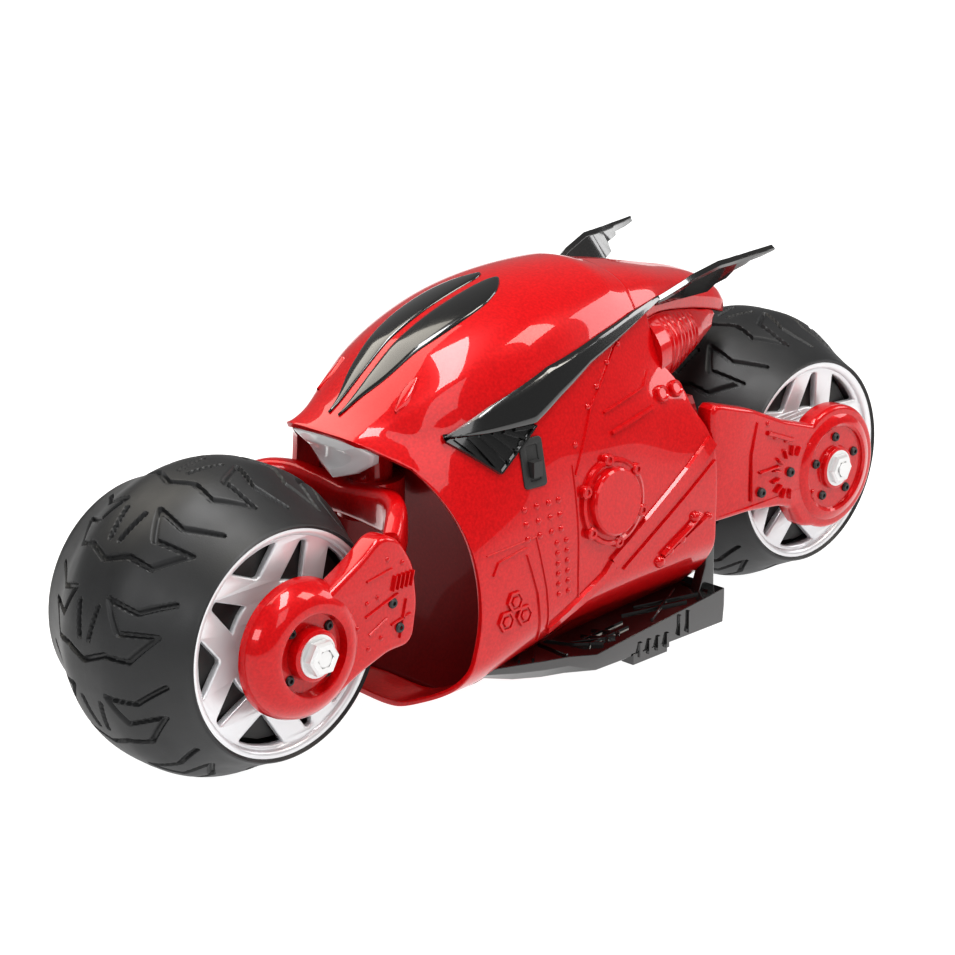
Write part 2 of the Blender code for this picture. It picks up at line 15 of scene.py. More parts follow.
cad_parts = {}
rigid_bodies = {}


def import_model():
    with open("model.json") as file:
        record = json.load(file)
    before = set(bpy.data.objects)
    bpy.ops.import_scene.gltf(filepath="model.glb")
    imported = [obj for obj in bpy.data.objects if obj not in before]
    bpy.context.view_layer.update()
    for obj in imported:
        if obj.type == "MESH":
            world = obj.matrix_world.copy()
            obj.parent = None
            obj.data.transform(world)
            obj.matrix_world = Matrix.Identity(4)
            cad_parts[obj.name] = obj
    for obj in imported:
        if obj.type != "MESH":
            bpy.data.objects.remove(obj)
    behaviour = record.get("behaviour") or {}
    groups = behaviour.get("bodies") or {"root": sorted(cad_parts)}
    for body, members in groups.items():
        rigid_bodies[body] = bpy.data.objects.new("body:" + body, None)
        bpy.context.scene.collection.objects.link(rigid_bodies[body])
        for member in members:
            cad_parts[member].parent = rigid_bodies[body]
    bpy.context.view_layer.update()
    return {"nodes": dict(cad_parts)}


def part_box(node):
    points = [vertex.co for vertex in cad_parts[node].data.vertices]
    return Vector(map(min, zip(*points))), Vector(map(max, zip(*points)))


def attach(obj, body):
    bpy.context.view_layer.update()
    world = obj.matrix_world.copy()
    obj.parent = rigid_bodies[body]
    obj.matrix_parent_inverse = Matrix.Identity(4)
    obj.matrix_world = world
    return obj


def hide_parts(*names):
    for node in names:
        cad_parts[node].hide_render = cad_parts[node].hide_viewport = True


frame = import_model()

MM = 0.001
TYRE_LOW, TYRE_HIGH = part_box("front_tyre")
WHEEL_RADIUS = (TYRE_HIGH[2] - TYRE_LOW[2]) / 2 / MM
TYRE_HALF = (TYRE_HIGH[0] - TYRE_LOW[0]) / 2 / MM
FRONT_Y = (TYRE_LOW[1] + TYRE_HIGH[1]) / 2 / MM
REAR_Y = -FRONT_Y
AXLE_Z = (TYRE_LOW[2] + TYRE_HIGH[2]) / 2 / MM
LIP_RADIUS = 82.0
FRONT_WALL_RADIUS = 96.0
STEER_Y = -67.0
RIM_RADIUS = 42.0
BROW_START = (-76.2, 104.0)
BROW_TIP = (-92.0, 115.0)
REAR_END_Y = 68.0
COWL_FRONT_Y = 43.5
TAIL_END_Y = 118.0
SWITCH_Y = -30.0
SWITCH_Z = 97.0
SKIN = 2.0
CORE = (0.0, 0.0, 80.0)

# Longitudinal lines of the body, front to rear: (y, z) for the crest and (y, x, z) for the others.
CREST = [(-92, 115), (-80, 122), (-66, 133), (-53, 142), (-30, 151), (0, 157.4), (31, 158.5),
         (43.5, 155.6), (60, 152.5), (81, 147.5), (104.5, 141), (118, 133)]
EDGE = [(-92, 19, 114), (-80, 24, 113), (-62.5, 34, 112.5), (-43, 39, 120), (-15, 41, 129.7),
        (18, 37.5, 135.6), (58.5, 29, 140.6), (81, 24, 137.5), (104, 19, 132), (118, 15, 127)]
SIDE_LINES = [
    [(-92, 20.5, 110), (-80, 29, 107), (-71, 36, 102), (-62, 39, 104.5), (-43, 44, 107),
     (-15, 46, 112.5), (18, 43.5, 117), (58, 36, 122), (68, 33, 121)],
    [(-92, 22, 106), (-80, 33, 100), (-71, 40.5, 92.5), (-62, 44.5, 91), (-43, 48.5, 90),
     (-15, 50.5, 92), (18, 50, 96), (58, 46.5, 101), (68, 45, 101)],
    [(-92, 36, 85), (-80, 44, 78), (-71, 48, 75), (-62, 50, 73.5), (-30, 53, 71), (30, 53.3, 74),
     (68, 53, 80)],
    [(-92, 53.5, 50), (68, 53.5, 50)],
    [(-92, 53.8, 36), (-50, 53.6, 35), (0, 52.5, 40), (68, 52.5, 42)],
    [(-92, 52.5, 27), (-60, 52.5, 27), (-30, 49, 28.5), (0, 45, 30.5), (68, 45, 31)],
    [(-92, 46, 19.5), (-60, 46, 19.5), (-30, 40, 20.5), (0, 35.5, 22.5), (68, 35.5, 23)],
    [(-92, 33, 12.5), (-60, 33, 12.5), (-30, 31, 13), (0, 28, 14.5), (68, 28, 14.5)],
    [(-92, 22, 9), (68, 22, 9)],
]
BOTTOM_Z = 9.0


# ---- materials -------------------------------------------------------------------------------

def new_material(name, colour, roughness, metallic=0.0, **sockets):
    """A Principled material; further sockets are given by name with _ for a space."""
    made = bpy.data.materials.new(name)
    made.use_nodes = True
    shader = made.node_tree.nodes["Principled BSDF"]
    shader.inputs["Base Color"].default_value = (*colour, 1)
    shader.inputs["Roughness"].default_value = roughness
    shader.inputs["Metallic"].default_value = metallic
    for key, value in sockets.items():
        shader.inputs[key.replace("_", " ")].default_value = value
    return made


def add_noise(made, scale, detail=3.0):
    nodes, links = made.node_tree.nodes, made.node_tree.links
    where = nodes.new("ShaderNodeTexCoord")
    noise = nodes.new("ShaderNodeTexNoise")
    noise.inputs["Scale"].default_value = scale
    noise.inputs["Detail"].default_value = detail
    links.new(where.outputs["Object"], noise.inputs["Vector"])
    return noise


def vary_colour(made, scale, low, high):
    """Lets the base colour drift between two colours."""
    nodes, links = made.node_tree.nodes, made.node_tree.links
    noise = add_noise(made, scale)
    ramp = nodes.new("ShaderNodeValToRGB")
    ramp.color_ramp.elements[0].position = 0.35
    ramp.color_ramp.elements[0].color = (*low, 1)
    ramp.color_ramp.elements[1].position = 0.68
    ramp.color_ramp.elements[1].color = (*high, 1)
    links.new(noise.outputs["Fac"], ramp.inputs["Fac"])
    links.new(ramp.outputs["Color"], nodes["Principled BSDF"].inputs["Base Color"])


def vary_roughness(made, scale, low, high):
    nodes, links = made.node_tree.nodes, made.node_tree.links
    noise = add_noise(made, scale, 4.0)
    span = nodes.new("ShaderNodeMapRange")
    span.inputs["To Min"].default_value = low
    span.inputs["To Max"].default_value = high
    links.new(noise.outputs["Fac"], span.inputs["Value"])
    links.new(span.outputs["Result"], nodes["Principled BSDF"].inputs["Roughness"])


def add_bump(made, scale, distance, strength=0.5):
    nodes, links = made.node_tree.nodes, made.node_tree.links
    noise = add_noise(made, scale, 2.0)
    bump = nodes.new("ShaderNodeBump")
    bump.inputs["Distance"].default_value = distance
    bump.inputs["Strength"].default_value = strength
    links.new(noise.outputs["Fac"], bump.inputs["Height"])
    links.new(bump.outputs["Normal"], nodes["Principled BSDF"].inputs["Normal"])


def candy_red(name, low, high):
    """Sprayed red with fine metal flake under a clear gloss coat."""
    made = new_material(name, high, 0.32, 0.12, Coat_Weight=0.85, Coat_Roughness=0.03, Coat_IOR=1.45,
                        Specular_IOR_Level=0.12)
    vary_colour(made, 900.0, low, high)
    vary_roughness(made, 60.0, 0.26, 0.36)
    return made


def moulded(name, colour, low, high, grain=0.00003):
    """Moulded plastic with a faint grain and uneven gloss."""
    made = new_material(name, colour, (low + high) / 2)
    vary_colour(made, 45.0, tuple(c * 0.85 for c in colour), tuple(c * 1.15 for c in colour))
    vary_roughness(made, 120.0, low, high)
    add_bump(made, 1800.0, grain)
    return made


RED = candy_red("candy_red", (0.42, 0.002, 0.004), (0.54, 0.004, 0.006))
# A darker copy of the red paint: painted shade for the recessed front and rear bulkhead walls, which lie in shadow.
SHADE_PAINTED_RED = candy_red("painted_shade_red", (0.16, 0.002, 0.003), (0.2, 0.003, 0.004))
SHADE_PAINTED_RED.node_tree.nodes["Principled BSDF"].inputs["Coat Weight"].default_value = 0.15
BLACK = new_material("gloss_black", (0.008, 0.008, 0.008), 0.14, Coat_Weight=1.0, Coat_Roughness=0.06)
vary_roughness(BLACK, 60.0, 0.12, 0.2)
SATIN_BLACK = moulded("satin_black", (0.022, 0.022, 0.022), 0.4, 0.55, 0.00008)
RUBBER = moulded("tyre_rubber", (0.013, 0.0135, 0.0145), 0.4, 0.56, 0.00006)
SILVER = new_material("satin_silver", (0.76, 0.77, 0.79), 0.34, 0.35, Coat_Weight=0.2)
vary_roughness(SILVER, 150.0, 0.24, 0.36)
add_bump(SILVER, 2500.0, 0.00002)
STEEL = new_material("zinc_plate", (0.66, 0.66, 0.66), 0.3, 0.5)
vary_roughness(STEEL, 80.0, 0.26, 0.34)
LENS = new_material("lens_plastic", (0.85, 0.85, 0.86), 0.12, 0.0, Coat_Weight=0.8)
vary_colour(LENS, 25.0, (0.78, 0.78, 0.8), (0.92, 0.92, 0.92))
BOARD = moulded("board_laminate", (0.02, 0.15, 0.05), 0.35, 0.5)
WRAP = moulded("battery_wrap", (0.04, 0.1, 0.35), 0.25, 0.4)


# ---- mesh helpers ----------------------------------------------------------------------------

def face_away(bm, centre):
    """Turns an open shell's faces away from a point."""
    outward = sum(f.normal.dot(f.calc_center_median() - centre) * f.calc_area() for f in bm.faces)
    if outward < 0:
        bmesh.ops.reverse_faces(bm, faces=bm.faces)


def finish_piece(name, bm, finish, body, replaced=(), smooth=32.0, scaled=True, centre=None):
    """Turns a bmesh in millimetres into a piece that rides on a body; open shells face away from centre."""
    bmesh.ops.recalc_face_normals(bm, faces=bm.faces)
    if centre:
        bm.normal_update()
        face_away(bm, Vector(centre))
    if scaled:
        bmesh.ops.scale(bm, vec=(MM, MM, MM), verts=bm.verts)
    mesh = bpy.data.meshes.new(name)
    bm.to_mesh(mesh)
    bm.free()
    piece = bpy.data.objects.new(name, mesh)
    bpy.context.scene.collection.objects.link(piece)
    mesh.materials.append(finish)
    mesh.shade_smooth()
    mesh.set_sharp_from_angle(angle=math.radians(smooth))
    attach(piece, body)
    if replaced:
        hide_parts(*replaced)
    return piece


def bevelled(piece, width, segments=3, angle=35.0):
    """Rounds a piece's sharp edges."""
    step = piece.modifiers.new("rounding", "BEVEL")
    step.width = width * MM
    step.segments = segments
    step.limit_method = "ANGLE"
    step.angle_limit = math.radians(angle)
    step.harden_normals = False
    return piece


def mirror_bmesh(bm):
    """Adds the mirror image across the centre plane."""
    made = bmesh.ops.duplicate(bm, geom=bm.verts[:] + bm.edges[:] + bm.faces[:])
    verts = [g for g in made["geom"] if isinstance(g, bmesh.types.BMVert)]
    faces = [g for g in made["geom"] if isinstance(g, bmesh.types.BMFace)]
    for v in verts:
        v.co.x = -v.co.x
    bmesh.ops.reverse_faces(bm, faces=faces)


def add_grid(bm, rows, closed_rows=False, caps=False):
    """Skins rows of points; closed_rows joins each row's ends and caps closes the first and last."""
    made = [[bm.verts.new(p) for p in row] for row in rows]
    count = len(rows[0])
    for here, there in zip(made, made[1:]):
        for i in range(count if closed_rows else count - 1):
            j = (i + 1) % count
            bm.faces.new((here[i], here[j], there[j], there[i]))
    if caps:
        bm.faces.new(made[0])
        bm.faces.new(made[-1])
    return made


def hermite(points, count):
    """count points evenly spread on a smooth curve through points, by chord length."""
    p = np.array(points, float)
    chord = np.maximum(np.linalg.norm(np.diff(p, axis=0), axis=1), 1e-6)
    t = np.concatenate([[0], np.cumsum(chord)])
    slope = np.empty_like(p)
    slope[1:-1] = (p[2:] - p[:-2]) / (t[2:] - t[:-2])[:, None]
    slope[0] = (p[1] - p[0]) / chord[0]
    slope[-1] = (p[-1] - p[-2]) / chord[-1]
    wanted = np.linspace(0, t[-1], count)
    i = np.clip(np.searchsorted(t, wanted, side="right") - 1, 0, len(p) - 2)
    span = chord[i]
    s = ((wanted - t[i]) / span)[:, None]
    a, b = p[i], p[i + 1]
    span = span[:, None]
    return ((2 * s**3 - 3 * s**2 + 1) * a + (s**3 - 2 * s**2 + s) * span * slope[i]
            + (3 * s**2 - 2 * s**3) * b + (s**3 - s**2) * span * slope[i + 1])


def add_turned(bm, profile, steps, place, closed=False):
    """Turns an (axial, radius) profile about the local X axis and puts it at place."""
    rows = []
    for k in range(steps):
        a = 2 * math.pi * k / steps
        rows.append([place @ Vector((x, r * math.cos(a), r * math.sin(a))) for x, r in profile])
    verts = [[bm.verts.new(p) for p in row] for row in rows]
    count = len(profile)
    for k in range(steps):
        here, there = verts[k], verts[(k + 1) % steps]
        for i in range(count if closed else count - 1):
            j = (i + 1) % count
            bm.faces.new((here[i], here[j], there[j], there[i]))
    if not closed:
        bm.faces.new([row[0] for row in verts])
        bm.faces.new([row[-1] for row in verts])


def outline_mesh(outlines, thickness, bevel, segments=2):
    """A bmesh of flat outlines (the later ones are holes) in the YZ plane, centred on X = 0."""
    curve = bpy.data.curves.new("outline", "CURVE")
    curve.dimensions = "2D"
    curve.fill_mode = "BOTH"
    curve.extrude = thickness / 2 - bevel
    curve.bevel_depth = bevel
    curve.bevel_resolution = segments
    for outline in outlines:
        spline = curve.splines.new("POLY")
        spline.points.add(len(outline) - 1)
        for point, (u, v) in zip(spline.points, outline):
            point.co = (u, v, 0, 1)
        spline.use_cyclic_u = True
    source = bpy.data.objects.new("outline", curve)
    bpy.context.scene.collection.objects.link(source)
    bpy.context.view_layer.update()
    mesh = bpy.data.meshes.new_from_object(source.evaluated_get(bpy.context.evaluated_depsgraph_get()))
    bpy.data.objects.remove(source)
    mesh.transform(Matrix(((0, 0, 1, 0), (1, 0, 0, 0), (0, 1, 0, 0), (0, 0, 0, 1))))
    bm = bmesh.new()
    bm.from_mesh(mesh)
    bmesh.ops.remove_doubles(bm, verts=bm.verts, dist=0.01)
    bpy.data.meshes.remove(mesh)
    return bm


def rounded(outline, radius, steps=4):
    """An outline with each corner rounded by an arc-like run of points."""
    result = []
    count = len(outline)
    for i, corner in enumerate(outline):
        p = Vector(corner)
        before = Vector(outline[i - 1]) - p
        after = Vector(outline[(i + 1) % count]) - p
        reach = min(radius, before.length * 0.45, after.length * 0.45)
        a = p + before.normalized() * reach
        b = p + after.normalized() * reach
        for k in range(steps + 1):
            t = k / steps
            result.append(tuple((1 - t) ** 2 * a + 2 * t * (1 - t) * p + t * t * b))
    return result


def arc(centre, radius, start, end, count):
    angles = [math.radians(start + (end - start) * i / count) for i in range(count + 1)]
    return [(centre[0] + radius * math.cos(a), centre[1] + radius * math.sin(a)) for a in angles]


# ---- the body's form -------------------------------------------------------------------------

def along(line, y):
    """The values of a longitudinal line at y, by a smooth curve through its points."""
    if y <= line[0][0]:
        return line[0][1:]
    if y >= line[-1][0]:
        return line[-1][1:]
    i = max(k for k in range(len(line) - 1) if line[k][0] <= y)
    before = line[max(i - 1, 0)]
    after = line[min(i + 2, len(line) - 1)]
    a, b = line[i], line[i + 1]
    span = b[0] - a[0]
    t = (y - a[0]) / span
    values = []
    for k in range(1, len(a)):
        slope_a = (b[k] - before[k]) / (b[0] - before[0]) * span
        slope_b = (after[k] - a[k]) / (after[0] - a[0]) * span
        values.append((2 * t**3 - 3 * t**2 + 1) * a[k] + (t**3 - 2 * t**2 + t) * slope_a
                      + (3 * t**2 - 2 * t**3) * b[k] + (t**3 - t**2) * slope_b)
    return values


def crown_points(y):
    top = along(CREST, y)[0]
    x, z = along(EDGE, y)
    drop = top - z
    return [(0, top), (0.45 * x, top - 0.11 * drop), (0.8 * x, top - 0.42 * drop), (x, z)]


CROWN_COLUMNS = 36
SIDE_COLUMNS = 84


def half_section(y):
    """Points from the crest down the left side to the bottom, the crown in its own columns."""
    crown = crown_points(y)
    side = [crown[-1]] + [tuple(along(line, y)) for line in SIDE_LINES] + [(0, BOTTOM_Z)]
    guide = [(-crown[1][0], crown[1][1])] + crown
    top = hermite(guide, 4 * CROWN_COLUMNS)
    top = top[top[:, 0] >= 0]
    top = hermite(np.vstack([[crown[0]], top[1::6], [crown[-1]]]), CROWN_COLUMNS)
    return np.vstack([top, hermite(side, SIDE_COLUMNS)[1:]])


def ahead_of_front(y, z):
    """Positive where the body exists: behind the wheel's well and behind the brow."""
    if z <= BROW_START[1]:
        return math.hypot(y - FRONT_Y, z - AXLE_Z) - LIP_RADIUS
    t = min((z - BROW_START[1]) / (BROW_TIP[1] - BROW_START[1]), 1.0)
    return y - (BROW_START[0] + t * (BROW_TIP[0] - BROW_START[0]))


REAR_OUTLINE = [(9, REAR_END_Y), (84, REAR_END_Y), (92, 66), (100, 61), (108, 59), (120, 51), (133, 50)]


def rear_limit(column, z):
    if column < CROWN_COLUMNS:
        return COWL_FRONT_Y
    heights = [p[0] for p in REAR_OUTLINE]
    return float(np.interp(z, heights, [p[1] for p in REAR_OUTLINE]))


def build_body_grid(rows):
    """The body's outer skin on the left: rows from the front lip to the rear edge."""
    ys = np.arange(-95, 70.5, 1.0)
    sections = np.array([half_section(y) for y in ys])
    columns = sections.shape[1]
    grid = np.zeros((rows, columns, 3))
    for c in range(columns):
        z = sections[:, c, 1]
        value = np.array([ahead_of_front(y, h) for y, h in zip(ys, z)])
        start = max(int(np.argmax(value > 0)), 1)
        step = value[start - 1] / (value[start - 1] - value[start]) if value[start - 1] < 0 else 0
        y0 = ys[start - 1] + step
        y1 = rear_limit(c, float(np.interp(58, ys, z)))
        t = np.linspace(0, 1, rows)
        y = y0 + (y1 - y0) * t
        grid[:, c, 0] = np.interp(y, ys, sections[:, c, 0])
        grid[:, c, 1] = y
        grid[:, c, 2] = np.interp(y, ys, z)
    return grid


BODY_GRID = build_body_grid(110)


def body_tree():
    """A search tree of the whole left skin, carried on to the rear end above the ducts."""
    ys = np.arange(-92, 70.5, 1.5)
    rows = [[(x, y, z) for x, z in half_section(y)] for y in ys]
    bm = bmesh.new()
    add_grid(bm, rows)
    bm.normal_update()
    tree = BVHTree.FromBMesh(bm)
    bm.free()
    return tree


BODY_TREE = body_tree()


def on_side(y, z, lift=0.0):
    """The body's left side at (y, z): a point lifted off the skin, and the outward normal."""
    point, normal, _, _ = BODY_TREE.ray_cast(Vector((90, y, z)), Vector((-1, 0, 0)))
    if normal.x < 0:
        normal = -normal
    return point + normal * lift, normal


def on_top(x, y, lift=0.0):
    point, normal, _, _ = BODY_TREE.ray_cast(Vector((max(x, 0.01), y, 200)), Vector((0, 0, -1)))
    if normal.z < 0:
        normal = -normal
    return point + normal * lift, normal


def flat_at(x):
    """A surface like on_side, on the plane at x."""
    def surface(y, z, lift=0.0):
        return Vector((x + lift, y, z)), Vector((1, 0, 0))
    return surface


def facing(point, normal):
    """A placement whose local X axis points along the normal."""
    return Matrix.Translation(point) @ normal.to_track_quat("X", "Z").to_matrix().to_4x4()


def add_dome(bm, surface, y, z, radius, height, steps=14):
    point, normal = surface(y, z)
    sink = 0.5
    profile = [(-sink, radius)] + [(height * math.sin(a), radius * math.cos(a))
                                   for a in (0.3, 0.7, 1.05, 1.35)]
    add_turned(bm, profile, steps, facing(point, normal))


def add_boss(bm, surface, y, z, profile, steps=28):
    point, normal = surface(y, z)
    add_turned(bm, profile, steps, facing(point, normal))


def add_ridge(bm, surface, points, width, height, taper=0.5, step=1.6, narrow_end=1.0):
    """A raised band along (y, z) points on a surface, its sides sloping in by taper."""
    path = []
    for a, b in zip(points, points[1:]):
        run = math.hypot(b[0] - a[0], b[1] - a[1])
        count = max(int(run / step), 1)
        path += [(a[0] + (b[0] - a[0]) * i / count, a[1] + (b[1] - a[1]) * i / count) for i in range(count)]
    path.append(points[-1])
    rows = []
    for i, (y, z) in enumerate(path):
        point, normal = surface(y, z)
        ahead = path[min(i + 1, len(path) - 1)]
        behind = path[max(i - 1, 0)]
        heading = surface(*ahead)[0] - surface(*behind)[0]
        across = normal.cross(heading).normalized()
        half = width / 2 * (1 + (narrow_end - 1) * i / (len(path) - 1))
        inner = max(half - taper, half * 0.3)
        rows.append([point - across * half - normal * 0.6, point - across * inner + normal * height,
                     point + across * inner + normal * height, point + across * half - normal * 0.6])
    add_grid(bm, rows, closed_rows=True, caps=True)


# ---- body shell ------------------------------------------------------------------------------

def whole_ring(half_points):
    """A closed ring from left-hand points that run from the crest to the bottom."""
    left = [Vector(p) for p in half_points]
    return left + [Vector((-p.x, p.y, p.z)) for p in reversed(left[1:-1])]


def thicken(piece, depth, outward=-1.0):
    step = piece.modifiers.new("wall", "SOLIDIFY")
    step.thickness = depth * MM
    step.offset = outward
    return piece


def build_fairing():
    bm = bmesh.new()
    add_grid(bm, [whole_ring(row) for row in BODY_GRID], closed_rows=True)
    skin = finish_piece("fairing_skin", bm, RED, "chassis", ("fairing_left", "fairing_right"), 40, centre=CORE)
    thicken(skin, SKIN)
    bevelled(skin, 0.45, 2, 60)


def build_cowl():
    """The tail cowl, a little lower than the fairing so that the cross seam shows as a step."""
    step_down = 0.5
    depth = 5.0
    ys = np.concatenate([np.linspace(COWL_FRONT_Y + 0.3, 112, 40), np.linspace(113, TAIL_END_Y, 6)])
    rows = []
    for y in ys:
        section = hermite(crown_points(y), CROWN_COLUMNS)
        x, z = section[-1]
        section[:, 1] -= step_down
        end = max((y - 112) / (TAIL_END_Y - 112), 0)
        shrink = 1 - 0.12 * end**2
        skirt = [(x - 0.4 * t * depth / 5, z - step_down - t * depth) for t in np.linspace(0.2, 1, 5)]
        half = [(px * shrink, y, z - 4 + (pz - z + 4) * shrink) for px, pz in list(section) + skirt]
        rows.append([(-a, b, c) for a, b, c in reversed(half[1:])] + half)
    bm = bmesh.new()
    made = add_grid(bm, rows)
    bm.faces.new(made[-1])
    cowl = finish_piece("tail_cowl_skin", bm, RED, "chassis", ("tail_cowl",), 40, centre=(0, 80, 90))
    thicken(cowl, 1.6)
    bevelled(cowl, 0.5, 2, 50)


def build_front_wall():
    rows = []
    for a in np.radians(np.linspace(-29.6, 44.0, 44)):
        y = FRONT_Y + FRONT_WALL_RADIUS * math.cos(a)
        z = AXLE_Z + FRONT_WALL_RADIUS * math.sin(a)
        hit = BODY_TREE.ray_cast(Vector((0, y, z)), Vector((1, 0, 0)))[0]
        half = hit.x - 1.0 if hit else 1.0
        rows.append([(half * t, y, z) for t in np.linspace(-1, 1, 24)])
    bm = bmesh.new()
    add_grid(bm, rows)
    # The wall takes the darker red: painted shade for the recess behind the front wheel.
    wall = finish_piece("front_wall", bm, SHADE_PAINTED_RED, "chassis", ("front_bulkhead",), centre=CORE)
    thicken(wall, 2.0)


def build_lens():
    """A faceted shield under the brow, leaning back to its lower point."""
    half = [(0, -91.4, 113.4), (9, -91.0, 113.2), (17.6, -89.6, 111.8), (19.6, -83.5, 107.5),
            (17, -81.5, 103), (10.5, -83, 98.6), (0, -85.6, 95.2)]
    front = half + [(-x, y, z) for x, y, z in reversed(half[1:-1])]
    middle = Vector((0, -89.5, 105))
    bm = bmesh.new()
    rows = []
    for t, lift in ((1.0, 3.6), (1.0, 0.9), (0.94, 0.1), (0.6, -0.5)):
        row = [middle + (Vector(p) - middle) * t + Vector((0, lift, 0)) for p in front]
        rows.append(row)
    add_grid(bm, rows, closed_rows=True, caps=True)
    lens = finish_piece("headlight_shield", bm, LENS, "chassis", ("headlight_lens",), 30)
    bevelled(lens, 0.3, 2, 20)


# Each row: y, inner and outer x of a windshield panel.
WINDSHIELD_SIDES = [(-84, 2.2, 3.0), (-77, 1.9, 5.0), (-68, 1.6, 9.5), (-56, 1.5, 12.8), (-41, 1.4, 15.6),
                    (-24, 1.4, 15.8), (-14, 1.6, 13.2), (-8, 2.2, 9.5), (-4.5, 3.6, 6.2)]


def build_windshields():
    """Dark teardrop panels on either side of the red centre strip."""
    path = hermite([(x0, y) for y, x0, _ in WINDSHIELD_SIDES], 60)
    far = hermite([(x1, y) for y, _, x1 in WINDSHIELD_SIDES], 60)
    for side, name in ((1, "left"), (-1, "right")):
        rows = []
        for near, outer in zip(path, far):
            row = []
            for t in np.linspace(0, 1, 12):
                x = near[0] + (outer[0] - near[0]) * t
                y = near[1] + (outer[1] - near[1]) * t
                point, _ = on_top(x, y, 0.2 + 0.7 * math.sin(math.pi * t) ** 0.4)
                row.append((side * point.x, point.y, point.z))
            rows.append(row)
        bm = bmesh.new()
        add_grid(bm, rows)
        if side < 0:
            bmesh.ops.reverse_faces(bm, faces=bm.faces)
        panel = finish_piece("windshield_panel_" + name, bm, BLACK, "chassis", ("windshield_" + name,), 60, centre=CORE)
        thicken(panel, 0.6)


INTAKE_TOP = [(-62.5, 112.9), (-43, 121.2), (-15, 130.8), (18, 136.8), (40, 140.1), (58.5, 141.6)]
INTAKE_LOW = [(-62.5, 112.2), (-45, 112.4), (-26, 112.8), (-12, 119.7), (7, 127.6), (30, 133.4), (58.5, 140.4)]
GRILLE_LOW = [(-62.5, 112.0), (-45, 98.0), (-26, 111.9)]
GRILLE_BARS = 7


def intake_rows(low, top, y_range, lifts, count, across):
    """Rows across a strip of the skin; lifts gives its height at fractions of its width."""
    rows = []
    for y in np.linspace(*y_range, count):
        z_low = float(np.interp(y, [p[0] for p in low], [p[1] for p in low]))
        z_top = float(np.interp(y, [p[0] for p in top], [p[1] for p in top]))
        row = []
        for t in np.linspace(0, 1, across):
            lift = float(np.interp(t, [p[0] for p in lifts], [p[1] for p in lifts]))
            row.append(on_side(y, z_low + (z_top - z_low) * t, lift)[0])
        rows.append(row)
    return rows


def build_intakes():
    """The long black wedge, with a barred grille in its lower front corner."""
    for side, name in ((1, "left"), (-1, "right")):
        bm = bmesh.new()
        crowned = [(0, 1.6), (0.12, 2.3), (0.85, 2.1), (1, 1.0)]
        add_grid(bm, intake_rows(INTAKE_LOW, INTAKE_TOP, (-62.4, 58.4), crowned, 90, 14))
        flip_left(bm, side)
        panel = finish_piece("side_intake_panel_" + name, bm, BLACK, "chassis", ("side_intake_" + name,), 40, centre=CORE)
        thicken(panel, 1.6)
        bevelled(panel, 0.35, 2, 50)
        bm = bmesh.new()
        add_grid(bm, intake_rows(GRILLE_LOW, INTAKE_LOW, (-62.3, -26.1), [(0, 0.25), (1, 0.25)], 30, 10))
        for k in range(GRILLE_BARS):
            y = -58.5 + 4.6 * k
            foot = y + 8.5
            z_foot = float(np.interp(foot, [p[0] for p in GRILLE_LOW], [p[1] for p in GRILLE_LOW]))
            if foot < -26.5:
                add_ridge(bm, on_side, [(y, 112.0), (foot, z_foot + 0.3)], 1.9, 1.5, 0.4)
        add_ridge(bm, on_side, [GRILLE_LOW[1], GRILLE_LOW[2]], 1.5, 1.7, 0.4)
        add_ridge(bm, on_side, [(-61.5, 111.4), GRILLE_LOW[1]], 1.5, 1.5, 0.4)
        flip_left(bm, side)
        finish_piece("intake_grille_" + name, bm, BLACK, "chassis", (), 30)


def flip_left(bm, side):
    """Moves left-hand geometry to the given side."""
    if side < 0:
        for v in bm.verts:
            v.co.x = -v.co.x
        bmesh.ops.reverse_faces(bm, faces=bm.faces)


def add_bolted_disc(bm):
    """The round engine cover: a ring, a raised disc and its bolts."""
    centre = (8.0, 76.0)
    add_boss(bm, on_side, *centre, [(-0.8, 17), (1.2, 16.8), (1.6, 15.6), (1.0, 14.8), (1.0, 13.4),
                                    (3.2, 12.9), (3.8, 12.1), (3.9, 0.5)], 56)
    for k in range(6):
        angle = math.radians(35 + 60 * k)
        y, z = centre[0] + 16.2 * math.cos(angle), centre[1] + 16.2 * math.sin(angle)
        add_boss(bm, on_side, y, z, [(-0.5, 2.6), (2.0, 2.5), (2.5, 2.0), (2.5, 1.1), (1.9, 1.0), (1.9, 0.2)], 14)


def add_rivets(bm):
    for z in (83, 77.5, 72):
        for y in (-37, -31, -25, -20):
            add_dome(bm, on_side, y, z, 1.25, 0.9)
    for k in range(6):
        for y in (-22.5, -17.5):
            add_dome(bm, on_side, y + 0.2 * k, 67 - 4.1 * k, 1.2, 0.9)
    for y, z in ((-8, 101), (2, 113), (9, 119), (18, 126), (27, 131)):
        add_dome(bm, on_side, y, z, 1.2, 0.9)


def add_hexagons(bm):
    for y, z in ((-45, 50), (-50, 43.5), (-40.5, 43.5)):
        profile = [(-0.5, 4.4), (0.9, 4.2), (0.9, 3.2), (0.3, 3.0), (0.3, 2.2), (1.0, 1.9), (1.2, 0.4)]
        add_boss(bm, on_side, y, z, profile, 6)


